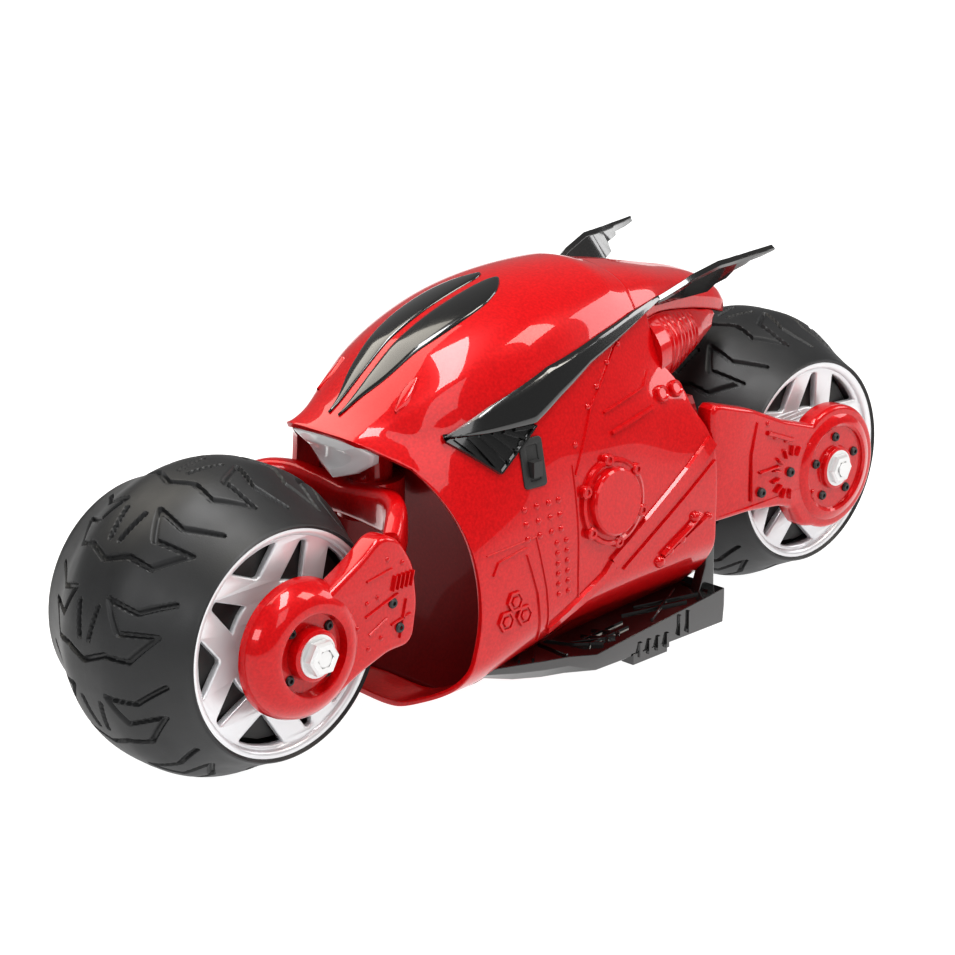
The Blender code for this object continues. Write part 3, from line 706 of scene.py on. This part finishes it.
def add_side_lines(bm):
    """Raised strips and panel edges of the body's side."""
    add_ridge(bm, on_side, [(67, 86), (8, 51)], 6.5, 1.3, 0.8)
    add_ridge(bm, on_side, [(8, 51), (4, 47), (-26, 33)], 5.0, 1.3, 0.8)
    add_ridge(bm, on_side, [(67, 78.5), (14, 47)], 1.3, 0.9, 0.4)
    add_ridge(bm, on_side, [(-55, 62), (-52, 66.5), (-38, 69)], 1.2, 0.7, 0.4)
    add_ridge(bm, on_side, [(-38, 66), (-33, 50), (-31, 30)], 1.1, 0.7, 0.4)
    add_ridge(bm, on_side, [(-57, 70), (-33, 72), (-28, 50), (-27, 34)], 0.9, 0.5, 0.3)
    add_ridge(bm, on_side, [(-11, 94), (-11, 42)], 0.9, 0.5, 0.3)
    add_ridge(bm, on_side, [(12, 101), (38, 105)], 2.4, 1.1, 0.6)
    add_ridge(bm, on_side, [(10, 109), (36, 113), (41, 118)], 1.4, 0.9, 0.4)
    add_ridge(bm, on_side, [(-10, 90), (3, 112), (24, 130), (44, 139)], 1.5, 0.7, 0.5)
    for y in (45, 54):
        add_boss(bm, on_side, y, 108.5, [(-0.6, 3.6), (1.4, 3.3), (1.8, 2.6), (1.2, 1.9), (1.2, 0.3)], 22)


def add_linkage(bm):
    """The small cast linkage low on the side."""
    add_ridge(bm, on_side, [(34, 44), (64, 57)], 2.6, 1.4, 0.6)
    add_ridge(bm, on_side, [(36, 47), (52, 55), (58, 59)], 2.0, 2.0, 0.6)
    for y, z, radius in ((35, 44.5, 2.6), (40, 48, 2.0), (47, 51, 2.2), (55, 58, 2.6), (63, 56.5, 1.6)):
        add_dome(bm, on_side, y, z, radius, 2.2)


def add_crown_details(bm):
    """The small teardrop bump on the nose."""
    path = [(-73 + 1.5 * k, 21.0 - 0.1 * k) for k in range(9)]
    rows = []
    for i, (y, x) in enumerate(path):
        width = 2.6 * math.sin(math.pi * (i + 0.6) / (len(path) + 0.4)) + 0.2
        row = []
        for t in np.linspace(-1, 1, 7):
            point, normal = on_top(x + width * t, y, 0.1)
            row.append(point + normal * (1.1 * (1 - t * t) - 0.4))
        rows.append(row)
    add_grid(bm, rows)


def build_relief():
    bm = bmesh.new()
    add_bolted_disc(bm)
    add_rivets(bm)
    add_hexagons(bm)
    add_side_lines(bm)
    add_linkage(bm)
    add_crown_details(bm)
    mirror_bmesh(bm)
    finish_piece("body_relief", bm, RED, "chassis", (), 28)


DUCT_ROWS = [(50.3, 36, 105.5, 40), (58, 34.5, 106.5, 38.5), (66, 32, 108, 36), (76, 28.5, 110, 32.5),
             (88, 24.5, 113, 28), (100, 20, 116.5, 22.5), (108, 15, 120, 17)]


def duct_section(row):
    y, x_low, z_low, x_mid = row
    x, z = along(EDGE, y)
    z_high = z - 5.6
    points = [(2, z_low), (x_low - 6, z_low), (x_low, z_low + 2), (x_mid, z_low + (z_high - z_low) * 0.4),
              (x_mid - 1, z_low + (z_high - z_low) * 0.7), (x + 0.5, z_high - 0.5), (x - 4, z_high), (2, z_high)]
    return [(px, y, pz) for px, pz in hermite(points, 40)]


def build_ducts():
    """The ribbed tail ducts under the cowl."""
    rows = np.array([duct_section(row) for row in DUCT_ROWS])
    ys = rows[:, 0, 1]
    fine = np.concatenate([np.linspace(50.3, 104, 90), np.linspace(104.6, 108, 8)])
    result = []
    for y in fine:
        ring = [[float(np.interp(y, ys, rows[:, k, axis])) for axis in range(3)] for k in range(rows.shape[1])]
        rib = 0.7 * (0.5 + 0.5 * math.tanh(5 * math.sin(2 * math.pi * y / 3.4))) if 57 < y < 84 else 0
        end = max((y - 104) / 4, 0)
        middle = np.mean(ring, axis=0)
        shaped = []
        for k, point in enumerate(ring):
            side = 8 < k < 26
            push = rib if side else 0
            x = point[0] - push
            x = 2 + (x - 2) * (1 - 0.25 * end**2)
            z = middle[2] + (point[2] - middle[2]) * (1 - 0.25 * end**2)
            shaped.append((x, y, z))
        result.append(shaped)
    for side, name in ((1, "left"), (-1, "right")):
        bm = bmesh.new()
        add_grid(bm, result, closed_rows=True, caps=True)
        flip_left(bm, side)
        finish_piece("duct_" + name, bm, RED, "chassis", ("tail_duct_" + name,), 35)


# Each row: y, x and z of the lower edge, x and z of the upper edge.
FIN_ROWS = [(58, 28.6, 138.6, 29.6, 140.9), (62, 28.3, 138.5, 31, 142.6), (70, 27.8, 138.4, 33.5, 146.2),
            (74, 27.4, 138.2, 34.5, 148.2), (87, 26, 137.6, 37, 151.8), (91.5, 26.5, 137.8, 37.4, 152.0),
            (92.5, 29.6, 141.2, 37.4, 152.0), (97.5, 31, 142.9, 37.6, 152.3), (98.5, 34, 146.4, 37.7, 152.3),
            (104.5, 35, 148, 38.1, 152.7), (105.5, 36.2, 149.4, 38.2, 152.8), (112, 36.8, 150.2, 38.6, 153.1),
            (117.5, 37.6, 151.4, 39, 153.4)]


def build_fins():
    """Upright black blades with a stepped rear edge and a crisp rib along the top."""
    for side, name in ((1, "left"), (-1, "right")):
        rows = []
        for y, x_low, z_low, x_high, z_high in FIN_ROWS:
            low, high = Vector((x_low, y, z_low)), Vector((x_high, y, z_high))
            slope = (high - low).normalized()
            out = Vector((slope.z, 0, -slope.x))
            rib = high - slope * min(2.2, (high - low).length * 0.4)
            rows.append([low - out * 0.8, low + out * 0.8, rib + out * 0.8, rib + out * 1.5, high + out * 1.3,
                         high - out * 1.0, rib - out * 1.2, rib - out * 0.8])
        bm = bmesh.new()
        add_grid(bm, rows, closed_rows=True, caps=True)
        flip_left(bm, side)
        fin = finish_piece("fin_" + name, bm, BLACK, "chassis", ("tail_fin_" + name,), 25)
        bevelled(fin, 0.25, 2, 25)


BOARD_ROWS = [(-60, 44, 47.5, 21.5, 24.5), (-52, 41, 48.6, 19.2, 23.6), (-40, 36, 49.5, 15.5, 22),
              (-26, 31, 50.6, 12.6, 20), (-14, 28, 51.5, 11, 18.5), (0, 22, 53, 9, 15.8),
              (20, 22, 53.5, 9, 18), (46, 22, 54.3, 9.1, 21), (72.4, 22, 55, 9.3, 24)]


def build_footboards():
    """Black boards along the body's foot, with moulded ridges and a slotted outer wall."""
    def top(y, z, lift=0.0):
        height = float(np.interp(y, [r[0] for r in BOARD_ROWS], [r[4] for r in BOARD_ROWS]))
        return Vector((z, y, height + lift)), Vector((0, 0, 1))

    def wall(y, z, lift=0.0):
        x = float(np.interp(y, [r[0] for r in BOARD_ROWS], [r[2] for r in BOARD_ROWS]))
        return Vector((x + lift, y, z)), Vector((1, 0, 0))

    for side, name in ((1, "left"), (-1, "right")):
        bm = bmesh.new()
        rows = []
        for y, a, b, low, high in BOARD_ROWS:
            skirt = 2.5 if y < 0 else 0.6
            rows.append([(a, y, low), (b - skirt, y, low), (b, y, (low + high) / 2), (b, y, high), (a, y, high)])
        add_grid(bm, rows, closed_rows=True, caps=True)
        bm_lug = bmesh.ops.create_cube(bm, size=1, matrix=Matrix.Translation((50.4, 30, 7.7))
                                       @ Matrix.Diagonal((6.4, 20, 4.4, 1)))
        del bm_lug
        bracket = [(64.5, 23), (72.4, 23), (72.4, 42), (69.5, 42.5), (68.3, 33)]
        plate = outline_mesh([bracket], 5.0, 0.5)
        bmesh.ops.translate(plate, verts=plate.verts, vec=(46.5, 0, 0))
        merge(bm, plate)
        flip_left(bm, side)
        board = finish_piece("board_" + name, bm, BLACK, "chassis", ("footboard_" + name,), 30)
        bevelled(board, 0.6, 3, 30)
        bm = bmesh.new()
        for shift in (0, 6.5):
            add_ridge(bm, top, [(-8 + shift, 30 + shift), (8 + shift, 49)], 1.5, 1.0, 0.4)
        add_flat_ridges(bm, top)
        for y in (4, 9, 14, 19):
            add_ridge(bm, wall, [(y + 20, 8), (y + 20, 14)], 2.2, 0.7, 0.4)
        add_ridge(bm, wall, [(46, 11), (46, 19.5)], 1.6, 0.9, 0.4)
        add_ridge(bm, wall, [(51, 11), (51, 20)], 1.6, 0.9, 0.4)
        flip_left(bm, side)
        finish_piece("board_ridges_" + name, bm, BLACK, "chassis", (), 28)


def add_flat_ridges(bm, top):
    """The moulded pattern on the footboard's upper face, as (y, x) lines."""
    lines = [[(-36, 46.5), (-26, 37.5)], [(-30, 48), (-19, 38)], [(-14, 50.5), (-12, 30)],
             [(4, 45), (24, 47)], [(4, 40), (26, 42)], [(8, 37), (12, 48)], [(14, 37), (18, 48)],
             [(30, 38), (54, 51)], [(38, 37), (62, 50)], [(34, 50.5), (60, 39)], [(66, 38), (66, 52)]]
    for line in lines:
        add_ridge(bm, top, line, 1.5, 0.9, 0.4)


def merge(bm, other):
    """Adds another bmesh's geometry and frees it."""
    mesh = bpy.data.meshes.new("part")
    other.to_mesh(mesh)
    other.free()
    bm.from_mesh(mesh)
    bpy.data.meshes.remove(mesh)


# ---- wheels ----------------------------------------------------------------------------------

TREAD_REPEATS = 10
TREAD_PITCH = 2 * math.pi * 57.5 / TREAD_REPEATS
GROOVES = [[(0, 0), (4, 10), (3, 19), (15, 28), (13, 15), (24, 9)], [(8, 2.5), (20, 5)], [(24, 9), (22, 20), (30, 31)]]
TYRE_PROFILE = [(0, 57.5), (5, 57.4), (9.5, 56.9), (14, 55.6), (19, 53.2), (25, 49.8), (31, 46.9), (37, 44.2), (40.2, 43.0)]


def groove_distance(s, x):
    """Distance from points (s round the tyre, |x| across it) to the nearest groove's centre line."""
    best = np.full(s.shape, 1e9)
    for line in GROOVES:
        for (s0, x0), (s1, x1) in zip(line, line[1:]):
            for shift in (-TREAD_PITCH, 0, TREAD_PITCH):
                ds, dx = s1 - s0, x1 - x0
                t = np.clip(((s - s0 - shift) * ds + (x - x0) * dx) / (ds * ds + dx * dx), 0, 1)
                best = np.minimum(best, np.hypot(s - s0 - shift - t * ds, x - x0 - t * dx))
    return best


def tread_surface(steps, across):
    """The tyre's outer face as an array [round, across, 3] about the axle, grooves cut in."""
    half = hermite([(x, r) for x, r in TYRE_PROFILE], across // 2 + 1)
    half = half[:, :2]
    x = np.concatenate([-half[:0:-1, 0], half[:, 0]])
    radius = np.concatenate([half[:0:-1, 1], half[:, 1]])
    angle = np.linspace(0, 2 * math.pi, steps, endpoint=False)
    aa, xx = np.meshgrid(angle, x, indexing="ij")
    rr = np.broadcast_to(radius, aa.shape)
    s = (-aa * 57.5) % TREAD_PITCH
    distance = groove_distance(s, np.abs(xx))
    cut = 1.6 * np.clip((1.15 - distance) / 0.5, 0, 1)
    rr = rr - cut
    return np.stack([xx, rr * np.cos(aa), rr * np.sin(aa)], axis=-1)


def build_tyre(name, centre_y, body):
    grid = tread_surface(900, 190)
    steps, across = grid.shape[:2]
    inner = [(40.8, 42.4), (39.6, 41.2), (-39.6, 41.2), (-40.8, 42.4)]
    angle = np.linspace(0, 2 * math.pi, steps, endpoint=False)
    liner = np.stack([np.stack([np.full(steps, x), r * np.cos(angle), r * np.sin(angle)], -1) for x, r in inner], 1)
    points = np.concatenate([grid, liner], axis=1)
    points[:, :, 1] += centre_y
    points[:, :, 2] += AXLE_Z
    count = across + len(inner)
    index = np.arange(steps * count).reshape(steps, count)
    nxt = np.roll(index, -1, axis=0)
    side = np.roll(index, -1, axis=1)
    faces = np.stack([index, side, np.roll(nxt, -1, axis=1), nxt], -1).reshape(-1, 4)
    mesh = bpy.data.meshes.new(name)
    mesh.from_pydata((points.reshape(-1, 3) * MM).tolist(), [], faces.tolist())
    bm = bmesh.new()
    bm.from_mesh(mesh)
    bpy.data.meshes.remove(mesh)
    finish_piece(name + "_tread", bm, RUBBER, body, (name,), 40, scaled=False)


def window(first, kind):
    """One rim window as (y, z) points about the hub; kind A is broad outward and B inward."""
    wide, narrow = (38.3, 26.0) if kind == "A" else (21.0, 37.6)
    spread = 19.0 if kind == "A" else 17.5
    base = [(wide, -spread), (wide, -spread / 3), (wide, spread / 3), (wide, spread)]
    corners = [(r * math.cos(math.radians(first + a)), r * math.sin(math.radians(first + a))) for r, a in base]
    tip = 2.6 if kind == "A" else 3.2
    for a in (tip, -tip):
        angle = math.radians(first + a)
        corners.append((narrow * math.cos(angle), narrow * math.sin(angle)))
    if kind == "B":
        corners.reverse()
    return rounded(corners, 2.8, 5)


def build_rim(name, side, centre_y, first_angle, body):
    """A dished five-way rim on one side of the wheel with a polished outer lip."""
    holes = [window(first_angle + 72 * k, "A") for k in range(5)]
    holes += [window(first_angle + 36 + 72 * k, "B") for k in range(5)]
    spokes = outline_mesh([arc((0, 0), 40.2, 0, 360, 120)[:-1], arc((0, 0), 10, 0, 360, 48)[:-1]] + holes, 3.4, 0.9, 3)
    bmesh.ops.triangulate(spokes, faces=[f for f in spokes.faces if len(f.verts) > 4])
    for v in spokes.verts:
        radius = math.hypot(v.co.y, v.co.z)
        dish = float(np.interp(radius, [10, 18, 27, 38, 40], [34.8, 34.6, 34.9, 37.0, 37.3]))
        v.co.x += dish - 1.0
    lip = [(37.0, 38.4), (38.8, 38.9), (39.6, 39.8), (39.9, 41.2), (39.4, 42.3), (30, 41.6), (28, 40.0), (36, 38.6)]
    place = Matrix.Identity(4)
    add_turned(spokes, lip, 180, place, closed=True)
    finish_transform(spokes, side, centre_y)
    rim = finish_piece(name, spokes, SILVER, body, (), 38)
    bevelled(rim, 0.35, 2, 50)
    drum = bmesh.new()
    add_turned(drum, [(1, 40.4), (28, 40.6), (28, 40.2), (27, 36), (24, 24), (22, 10), (1, 10)], 96, place, closed=True)
    finish_transform(drum, side, centre_y)
    finish_piece(name + "_drum", drum, SATIN_BLACK, body, (), 40)


def finish_transform(bm, side, centre_y):
    """Turns left-hand geometry about the hub into its side's place on the axle."""
    flip_left(bm, side)
    bmesh.ops.translate(bm, verts=bm.verts, vec=(0, centre_y, AXLE_Z))


def build_wheel(end, centre_y, first_angle):
    body = end + "_wheel"
    build_tyre(end + "_tyre", centre_y, body)
    for side, name in ((1, "left"), (-1, "right")):
        build_rim(f"{end}_spokes_{name}", side, centre_y, first_angle, body)
        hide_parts(f"{end}_rim_{name}")


# ---- fasteners -------------------------------------------------------------------------------

def hexagon(radius, turn=0.0):
    return [(radius * math.cos(math.radians(turn + 60 * k)), radius * math.sin(math.radians(turn + 60 * k)))
            for k in range(6)]


def add_nut(bm, centre, inner, outer, width):
    """A hexagon nut with a chamfer and a dimpled bolt end, its axis along X."""
    place = Matrix.Translation((0, *centre))
    radius = width / 2 / math.cos(math.radians(30))
    add_turned(bm, [(inner, radius + 1.2), (inner + 0.8, radius + 1.2), (inner + 0.8, 2)], 32, place)
    rings = [(inner + 0.8, radius), (outer - 1.0, radius), (outer, radius * 0.88), (outer, radius * 0.55),
             (outer - 0.9, radius * 0.5), (outer - 1.2, 0.4)]
    add_turned(bm, rings, 6, place)


def add_screw(bm, x, centre, radius, height):
    """A pan-head screw with a round socket, facing outward along X."""
    place = Matrix.Translation((0, *centre))
    profile = [(x - 0.6, radius), (x + height * 0.5, radius), (x + height, radius * 0.78), (x + height, radius * 0.42),
               (x + height - 0.7, radius * 0.38), (x + height - 0.7, 0.1)]
    add_turned(bm, profile, 20, place)


def around(centre, radius, count, turn):
    return [(centre[0] + radius * math.cos(math.radians(turn + 360 * k / count)),
             centre[1] + radius * math.sin(math.radians(turn + 360 * k / count))) for k in range(count)]


# ---- fork ------------------------------------------------------------------------------------

FORK_ARM = [(-131, 79), (-119, 83.5), (-110, 90), (-103, 87), (-97, 77), (-95.5, 63), (-98, 50), (-108, 50),
            (-122, 45.5), (-131, 39)]
CAP_PROFILE = [(44, 25.5), (47, 25.3), (50, 24.2), (52.6, 22), (54.4, 19.2), (55.1, 16.2), (54.6, 14.9),
               (51.5, 14.2), (51.3, 9.8), (55.4, 9.4), (55.9, 8.6), (55.9, 2)]


def build_fork_arm(side, name):
    outline = [(FORK_ARM[k][0], FORK_ARM[k][1]) for k in range(len(FORK_ARM))]
    outline = outline[1:-1] + arc((FRONT_Y, AXLE_Z), 20, -62, -298, 40)
    cap_hole = arc((FRONT_Y, AXLE_Z), 16.5, 0, 360, 60)[:-1]
    arm = outline_mesh([rounded(outline, 3.5, 4), cap_hole], 9.6, 2.2, 4)
    bmesh.ops.translate(arm, verts=arm.verts, vec=(48.6, 0, 0))
    add_turned(arm, CAP_PROFILE, 96, Matrix.Translation((0, FRONT_Y, AXLE_Z)))
    face = flat_at(53.3)
    for y, z in ((-118, 69), (-113, 70), (-126, 66), (-123, 61), (-118, 52), (-112, 54.5), (-101, 80), (-108, 83)):
        add_dome(arm, face, y, z, 1.0, 0.8)
    for line in ([(-119, 64), (-103.5, 69)], [(-117.5, 57), (-109, 61)], [(-107, 58), (-97.5, 60)],
                 [(-118, 77), (-106, 79)], [(-103, 52), (-99.5, 66)]):
        add_ridge(arm, face, line, 1.3, 0.8, 0.4)
    for k in range(5):
        add_ridge(arm, face, [(-106 + 2.1 * k, 70.5), (-104.5 + 2.1 * k, 76)], 1.2, 1.2, 0.5)
    flip_left(arm, side)
    piece = finish_piece("fork_leg_" + name, arm, RED, "fork", ("fork_arm_" + name, "fork_cap_" + name), 35)
    bevelled(piece, 0.4, 2, 55)
    steel = bmesh.new()
    add_nut(steel, (FRONT_Y, AXLE_Z), 55.6, 60.4, 11.5)
    flip_left(steel, side)
    finish_piece("front_nut_" + name, steel, STEEL, "fork", ("front_axle_nut_" + name,), 25)
    dark = bmesh.new()
    for y, z in around((FRONT_Y, AXLE_Z), 12, 4, 40):
        add_screw(dark, 51.0, (y, z), 1.9, 1.4)
    for y, z in ((-103, 56), (-106, 66)):
        add_screw(dark, 53.2, (y, z), 1.9, 1.2)
    flip_left(dark, side)
    finish_piece("fork_screws_" + name, dark, SATIN_BLACK, "fork", (), 30)


POST_TOP = 112.0
YOKE_ROWS = [(0, -78, 86), (8, -78.2, 86.2), (14, -79, 86.5), (26, -82, 87.3), (36, -87.5, 86.2),
             (42, -94, 83.5), (46.5, -100, 80)]


def build_yoke():
    """The broad band that sweeps round behind the tyre from the post to both legs."""
    path = hermite(YOKE_ROWS, 30)
    rows = []
    for k, (x, y, z) in enumerate(path):
        ahead = path[min(k + 1, len(path) - 1)] - path[max(k - 1, 0)]
        along_path = Vector((ahead[0], ahead[1], 0)).normalized()
        across = Vector((-along_path.y, along_path.x, 0))
        t = k / (len(path) - 1)
        half_z = 6.0 + 3.2 * min(t * 1.5, 1)
        half_y = 5.2 - 1.4 * t
        row = []
        for a in np.linspace(0, 2 * math.pi, 28, endpoint=False):
            u = math.copysign(abs(math.cos(a)) ** 0.6, math.cos(a))
            v = math.copysign(abs(math.sin(a)) ** 0.6, math.sin(a))
            row.append(Vector((x, y, z)) + across * (half_y * u) + Vector((0, 0, half_z * v)))
        rows.append(row)
    mirrored_rows = [[Vector((-p.x, p.y, p.z)) for p in row] for row in reversed(rows[1:])]
    bm = bmesh.new()
    add_grid(bm, mirrored_rows + rows, closed_rows=True, caps=True)
    upright = Matrix.Translation((0, STEER_Y, 0)) @ Matrix.Rotation(-math.pi / 2, 4, "Y")
    add_turned(bm, [(78, 12.8), (92, 12.8), (92, 8.5), (POST_TOP, 8.5)], 48, upright)
    finish_piece("fork_yoke", bm, RED, "fork", ("fork_crown",), 40)


# ---- rear arms -------------------------------------------------------------------------------

ARM_TOP = [(70, 98), (90, 92), (110, 83), (130, 76.5)]
ARM_LOW = [(125, 38), (118, 48), (110, 50.5), (90, 53), (70, 53)]


def build_rear_arm(side, name):
    outline = ARM_TOP + arc((REAR_Y, AXLE_Z), 24, 118, -118, 44) + ARM_LOW
    cap_hole = arc((REAR_Y, AXLE_Z), 19.5, 0, 360, 60)[:-1]
    arm = outline_mesh([rounded(outline, 2.5, 3), cap_hole], 9.0, 2.0, 4)
    bmesh.ops.translate(arm, verts=arm.verts, vec=(48.2, 0, 0))
    for v in arm.verts:
        if v.co.y < 90:
            v.co.x -= 0.0035 * (90 - v.co.y) ** 2
    add_turned(arm, [(46, 24), (51.5, 23.6), (53.6, 21.5), (54.2, 18.6), (53.6, 17.6), (52.6, 17.2), (52.6, 9.2),
                     (54.6, 8.8), (54.9, 8.0), (54.9, 2)], 96, Matrix.Translation((0, REAR_Y, AXLE_Z)))
    face = flat_at(52.7)
    for y, z in ((127, 71), (132, 70), (124, 52.5), (130, 50), (105, 79), (112, 76), (100, 86)):
        add_dome(arm, face, y, z, 1.0, 0.8)
    add_ridge(arm, face, [(93.5, 88), (90.5, 75), (91, 55)], 1.0, 0.6, 0.4)
    add_ridge(arm, face, [(100, 82), (116, 75.5)], 2.4, 1.0, 0.5)
    for k in range(9):
        a = math.radians(60 + 26 * k)
        inner = (115 + 7 * math.cos(a), 62 + 7 * math.sin(a))
        outer = (115 + 11.2 * math.cos(a), 62 + 11.2 * math.sin(a))
        add_ridge(arm, face, [inner, outer], 1.5, 1.2, 0.5)
    add_ridge(arm, face, [(96, 66), (108, 66)], 1.4, 0.8, 0.4)
    flip_left(arm, side)
    piece = finish_piece("rear_arm_" + name, arm, RED, "chassis", ("swingarm_" + name, "swingarm_cap_" + name), 35)
    bevelled(piece, 0.4, 2, 55)
    steel = bmesh.new()
    add_nut(steel, (REAR_Y, AXLE_Z), 54.2, 57.4, 11.0)
    flip_left(steel, side)
    finish_piece("rear_nut_" + name, steel, STEEL, "chassis", ("rear_axle_nut_" + name,), 25)
    dark = bmesh.new()
    for y, z in around((REAR_Y, AXLE_Z), 13, 5, 18):
        add_screw(dark, 52.6, (y, z), 1.9, 1.3)
    for y, z in ((97, 57.5), (115, 62)):
        add_screw(dark, 52.7, (y, z), 2.0, 1.2)
    flip_left(dark, side)
    finish_piece("rear_screws_" + name, dark, SATIN_BLACK, "chassis", (), 30)


# ---- switch ----------------------------------------------------------------------------------

def build_switch():
    """A framed slot round the switch's knob, which stays the CAD knob."""
    ring = outline_mesh([rounded([(-5, -7), (5, -7), (5, 11), (-5, 11)], 1.5, 4),
                         rounded([(-3, -5), (3, -5), (3, 9), (-3, 9)], 1, 3)], 1.4, 0.4)
    floor = outline_mesh([rounded([(-4, -6), (4, -6), (4, 10), (-4, 10)], 1, 3)], 0.6, 0.1)
    merge(ring, floor)
    bmesh.ops.transform(ring, matrix=facing(*on_side(SWITCH_Y, SWITCH_Z)), verts=ring.verts)
    return ring


# ---- the rest of the frame's own parts -------------------------------------------------------

# The front and rear bulkheads take the darker red: painted shade where they sit in shadow.
NODE_FINISHES = {
    "fairing": RED, "front_bulkhead": SHADE_PAINTED_RED, "rear_bulkhead": SHADE_PAINTED_RED, "tail_cowl": RED, "tail_duct": RED,
    "tail_fin": BLACK, "side_intake": BLACK, "windshield": BLACK, "headlight": LENS, "footboard": BLACK,
    "chassis_tray": SATIN_BLACK, "battery_pack": WRAP, "battery_door": SATIN_BLACK, "circuit": BOARD,
    "steering_servo": SATIN_BLACK, "drive_motor": STEEL, "drive_belt": RUBBER, "switch_housing": SATIN_BLACK,
    "swingarm": RED, "rear_axle": STEEL, "front_axle": STEEL, "fork": RED, "steering_lever": SATIN_BLACK,
    "front_tyre": RUBBER, "rear_tyre": RUBBER, "front_rim": SILVER, "rear_rim": SILVER, "front_hub": SATIN_BLACK,
    "rear_hub": SATIN_BLACK, "rear_pulley": SATIN_BLACK, "motor_pulley": STEEL, "power_switch": SATIN_BLACK,
}


def finish_nodes():
    """Gives each CAD node one of the procedural finishes."""
    for name, node in frame["nodes"].items():
        keys = [key for key in NODE_FINISHES if name.startswith(key)]
        finish = NODE_FINISHES[max(keys, key=len)]
        node.data.materials.clear()
        node.data.materials.append(finish)
    for name in ("battery_door_screw",):
        frame["nodes"][name].data.materials[0] = STEEL


# ---- stage, camera and lights ----------------------------------------------------------------

AIM = Vector((0.0, -0.004, 0.078))


def build_floor():
    """A plain white floor, large enough to fill the view, that glows a little like a lit table."""
    bm = bmesh.new()
    add_grid(bm, [[(x, y, 0) for x in np.linspace(-7, 7, 8)] for y in np.linspace(-7, 7, 8)])
    mesh = bpy.data.meshes.new("floor")
    bm.to_mesh(mesh)
    bm.free()
    floor = bpy.data.objects.new("floor", mesh)
    bpy.context.scene.collection.objects.link(floor)
    mesh.materials.append(new_material("floor_white", (0.3, 0.3, 0.3), 0.9, Specular_IOR_Level=0.0,
                                       Emission_Color=(1, 1, 1, 1), Emission_Strength=0.82))


def build_camera():
    azimuth, elevation, roll = math.radians(45.59), math.radians(18.208), math.radians(-0.636)
    back = Vector((math.sin(azimuth) * math.cos(elevation), -math.cos(azimuth) * math.cos(elevation), math.sin(elevation)))
    right = Vector((math.cos(azimuth), math.sin(azimuth), 0))
    up = back.cross(right)
    turned_right = right * math.cos(roll) + up * math.sin(roll)
    turned_up = up * math.cos(roll) - right * math.sin(roll)
    data = bpy.data.cameras.new("camera")
    data.lens = 103.63
    data.sensor_width = 36
    data.clip_end = 20
    camera = bpy.data.objects.new("camera", data)
    bpy.context.scene.collection.objects.link(camera)
    basis = Matrix((turned_right, turned_up, back)).transposed().to_4x4()
    basis.translation = (0.72162, -0.71812, 0.41012)
    camera.matrix_world = basis
    bpy.context.scene.camera = camera


def add_area(name, place, size, power, aim=AIM, colour=(1, 1, 1)):
    data = bpy.data.lights.new(name, "AREA")
    data.shape = "RECTANGLE"
    data.size, data.size_y = size
    data.energy = power
    data.color = colour
    light = bpy.data.objects.new(name, data)
    bpy.context.scene.collection.objects.link(light)
    light.location = place
    light.rotation_euler = (Vector(aim) - Vector(place)).to_track_quat("-Z", "Y").to_euler()
    return light


def build_lights():
    add_area("overhead", (0.25, -0.1, 1.2), (0.28, 0.9), 11)
    add_area("far_side", (-0.62, -0.2, 1.1), (0.8, 0.9), 7, colour=(1, 0.95, 0.85))
    add_area("rear_left", (0.72, 0.6, 1.05), (0.35, 0.6), 5, colour=(1, 0.96, 0.88))
    add_area("key", (1.3, -0.3, 1.0), (0.5, 0.7), 2.5)
    add_area("nose", (0.2, -1.5, 0.8), (0.7, 0.4), 6)
    add_area("tail", (0.6, 1.4, 0.7), (0.6, 0.5), 4)
    world = bpy.data.worlds.new("studio")
    world.use_nodes = True
    shade = world.node_tree.nodes["Background"]
    shade.inputs["Color"].default_value = (1, 1, 1, 1)
    shade.inputs["Strength"].default_value = 0.22
    bpy.context.scene.world = world
    bpy.context.scene.view_settings.view_transform = "Standard"
    bpy.context.scene.view_settings.look = "Medium High Contrast"


def write_sizes():
    """Finds the box round the shown pieces, leaving out the floor and the hidden frame nodes; nothing is done with it.
    """
    bpy.context.view_layer.update()
    low, high = [1e9] * 3, [-1e9] * 3
    graph = bpy.context.evaluated_depsgraph_get()
    for piece in bpy.data.objects:
        if piece.type != "MESH" or piece.name == "floor":
            continue
        if piece.name in frame["nodes"] and piece.hide_render:
            continue
        corners = [piece.matrix_world @ Vector(c) for c in piece.evaluated_get(graph).bound_box]
        for corner in corners:
            for k in range(3):
                low[k] = min(low[k], corner[k])
                high[k] = max(high[k], corner[k])


finish_nodes()
build_fairing()
build_cowl()
build_front_wall()
build_lens()
build_windshields()
build_intakes()
build_relief()
build_ducts()
build_fins()
build_footboards()
build_wheel("front", FRONT_Y, 108)
build_wheel("rear", REAR_Y, 119)
for arm_side, arm_name in ((1, "left"), (-1, "right")):
    build_fork_arm(arm_side, arm_name)
    build_rear_arm(arm_side, arm_name)
build_yoke()
finish_piece("switch_plate", build_switch(), SATIN_BLACK, "chassis", (), 30)
build_floor()
build_camera()
build_lights()
write_sizes()
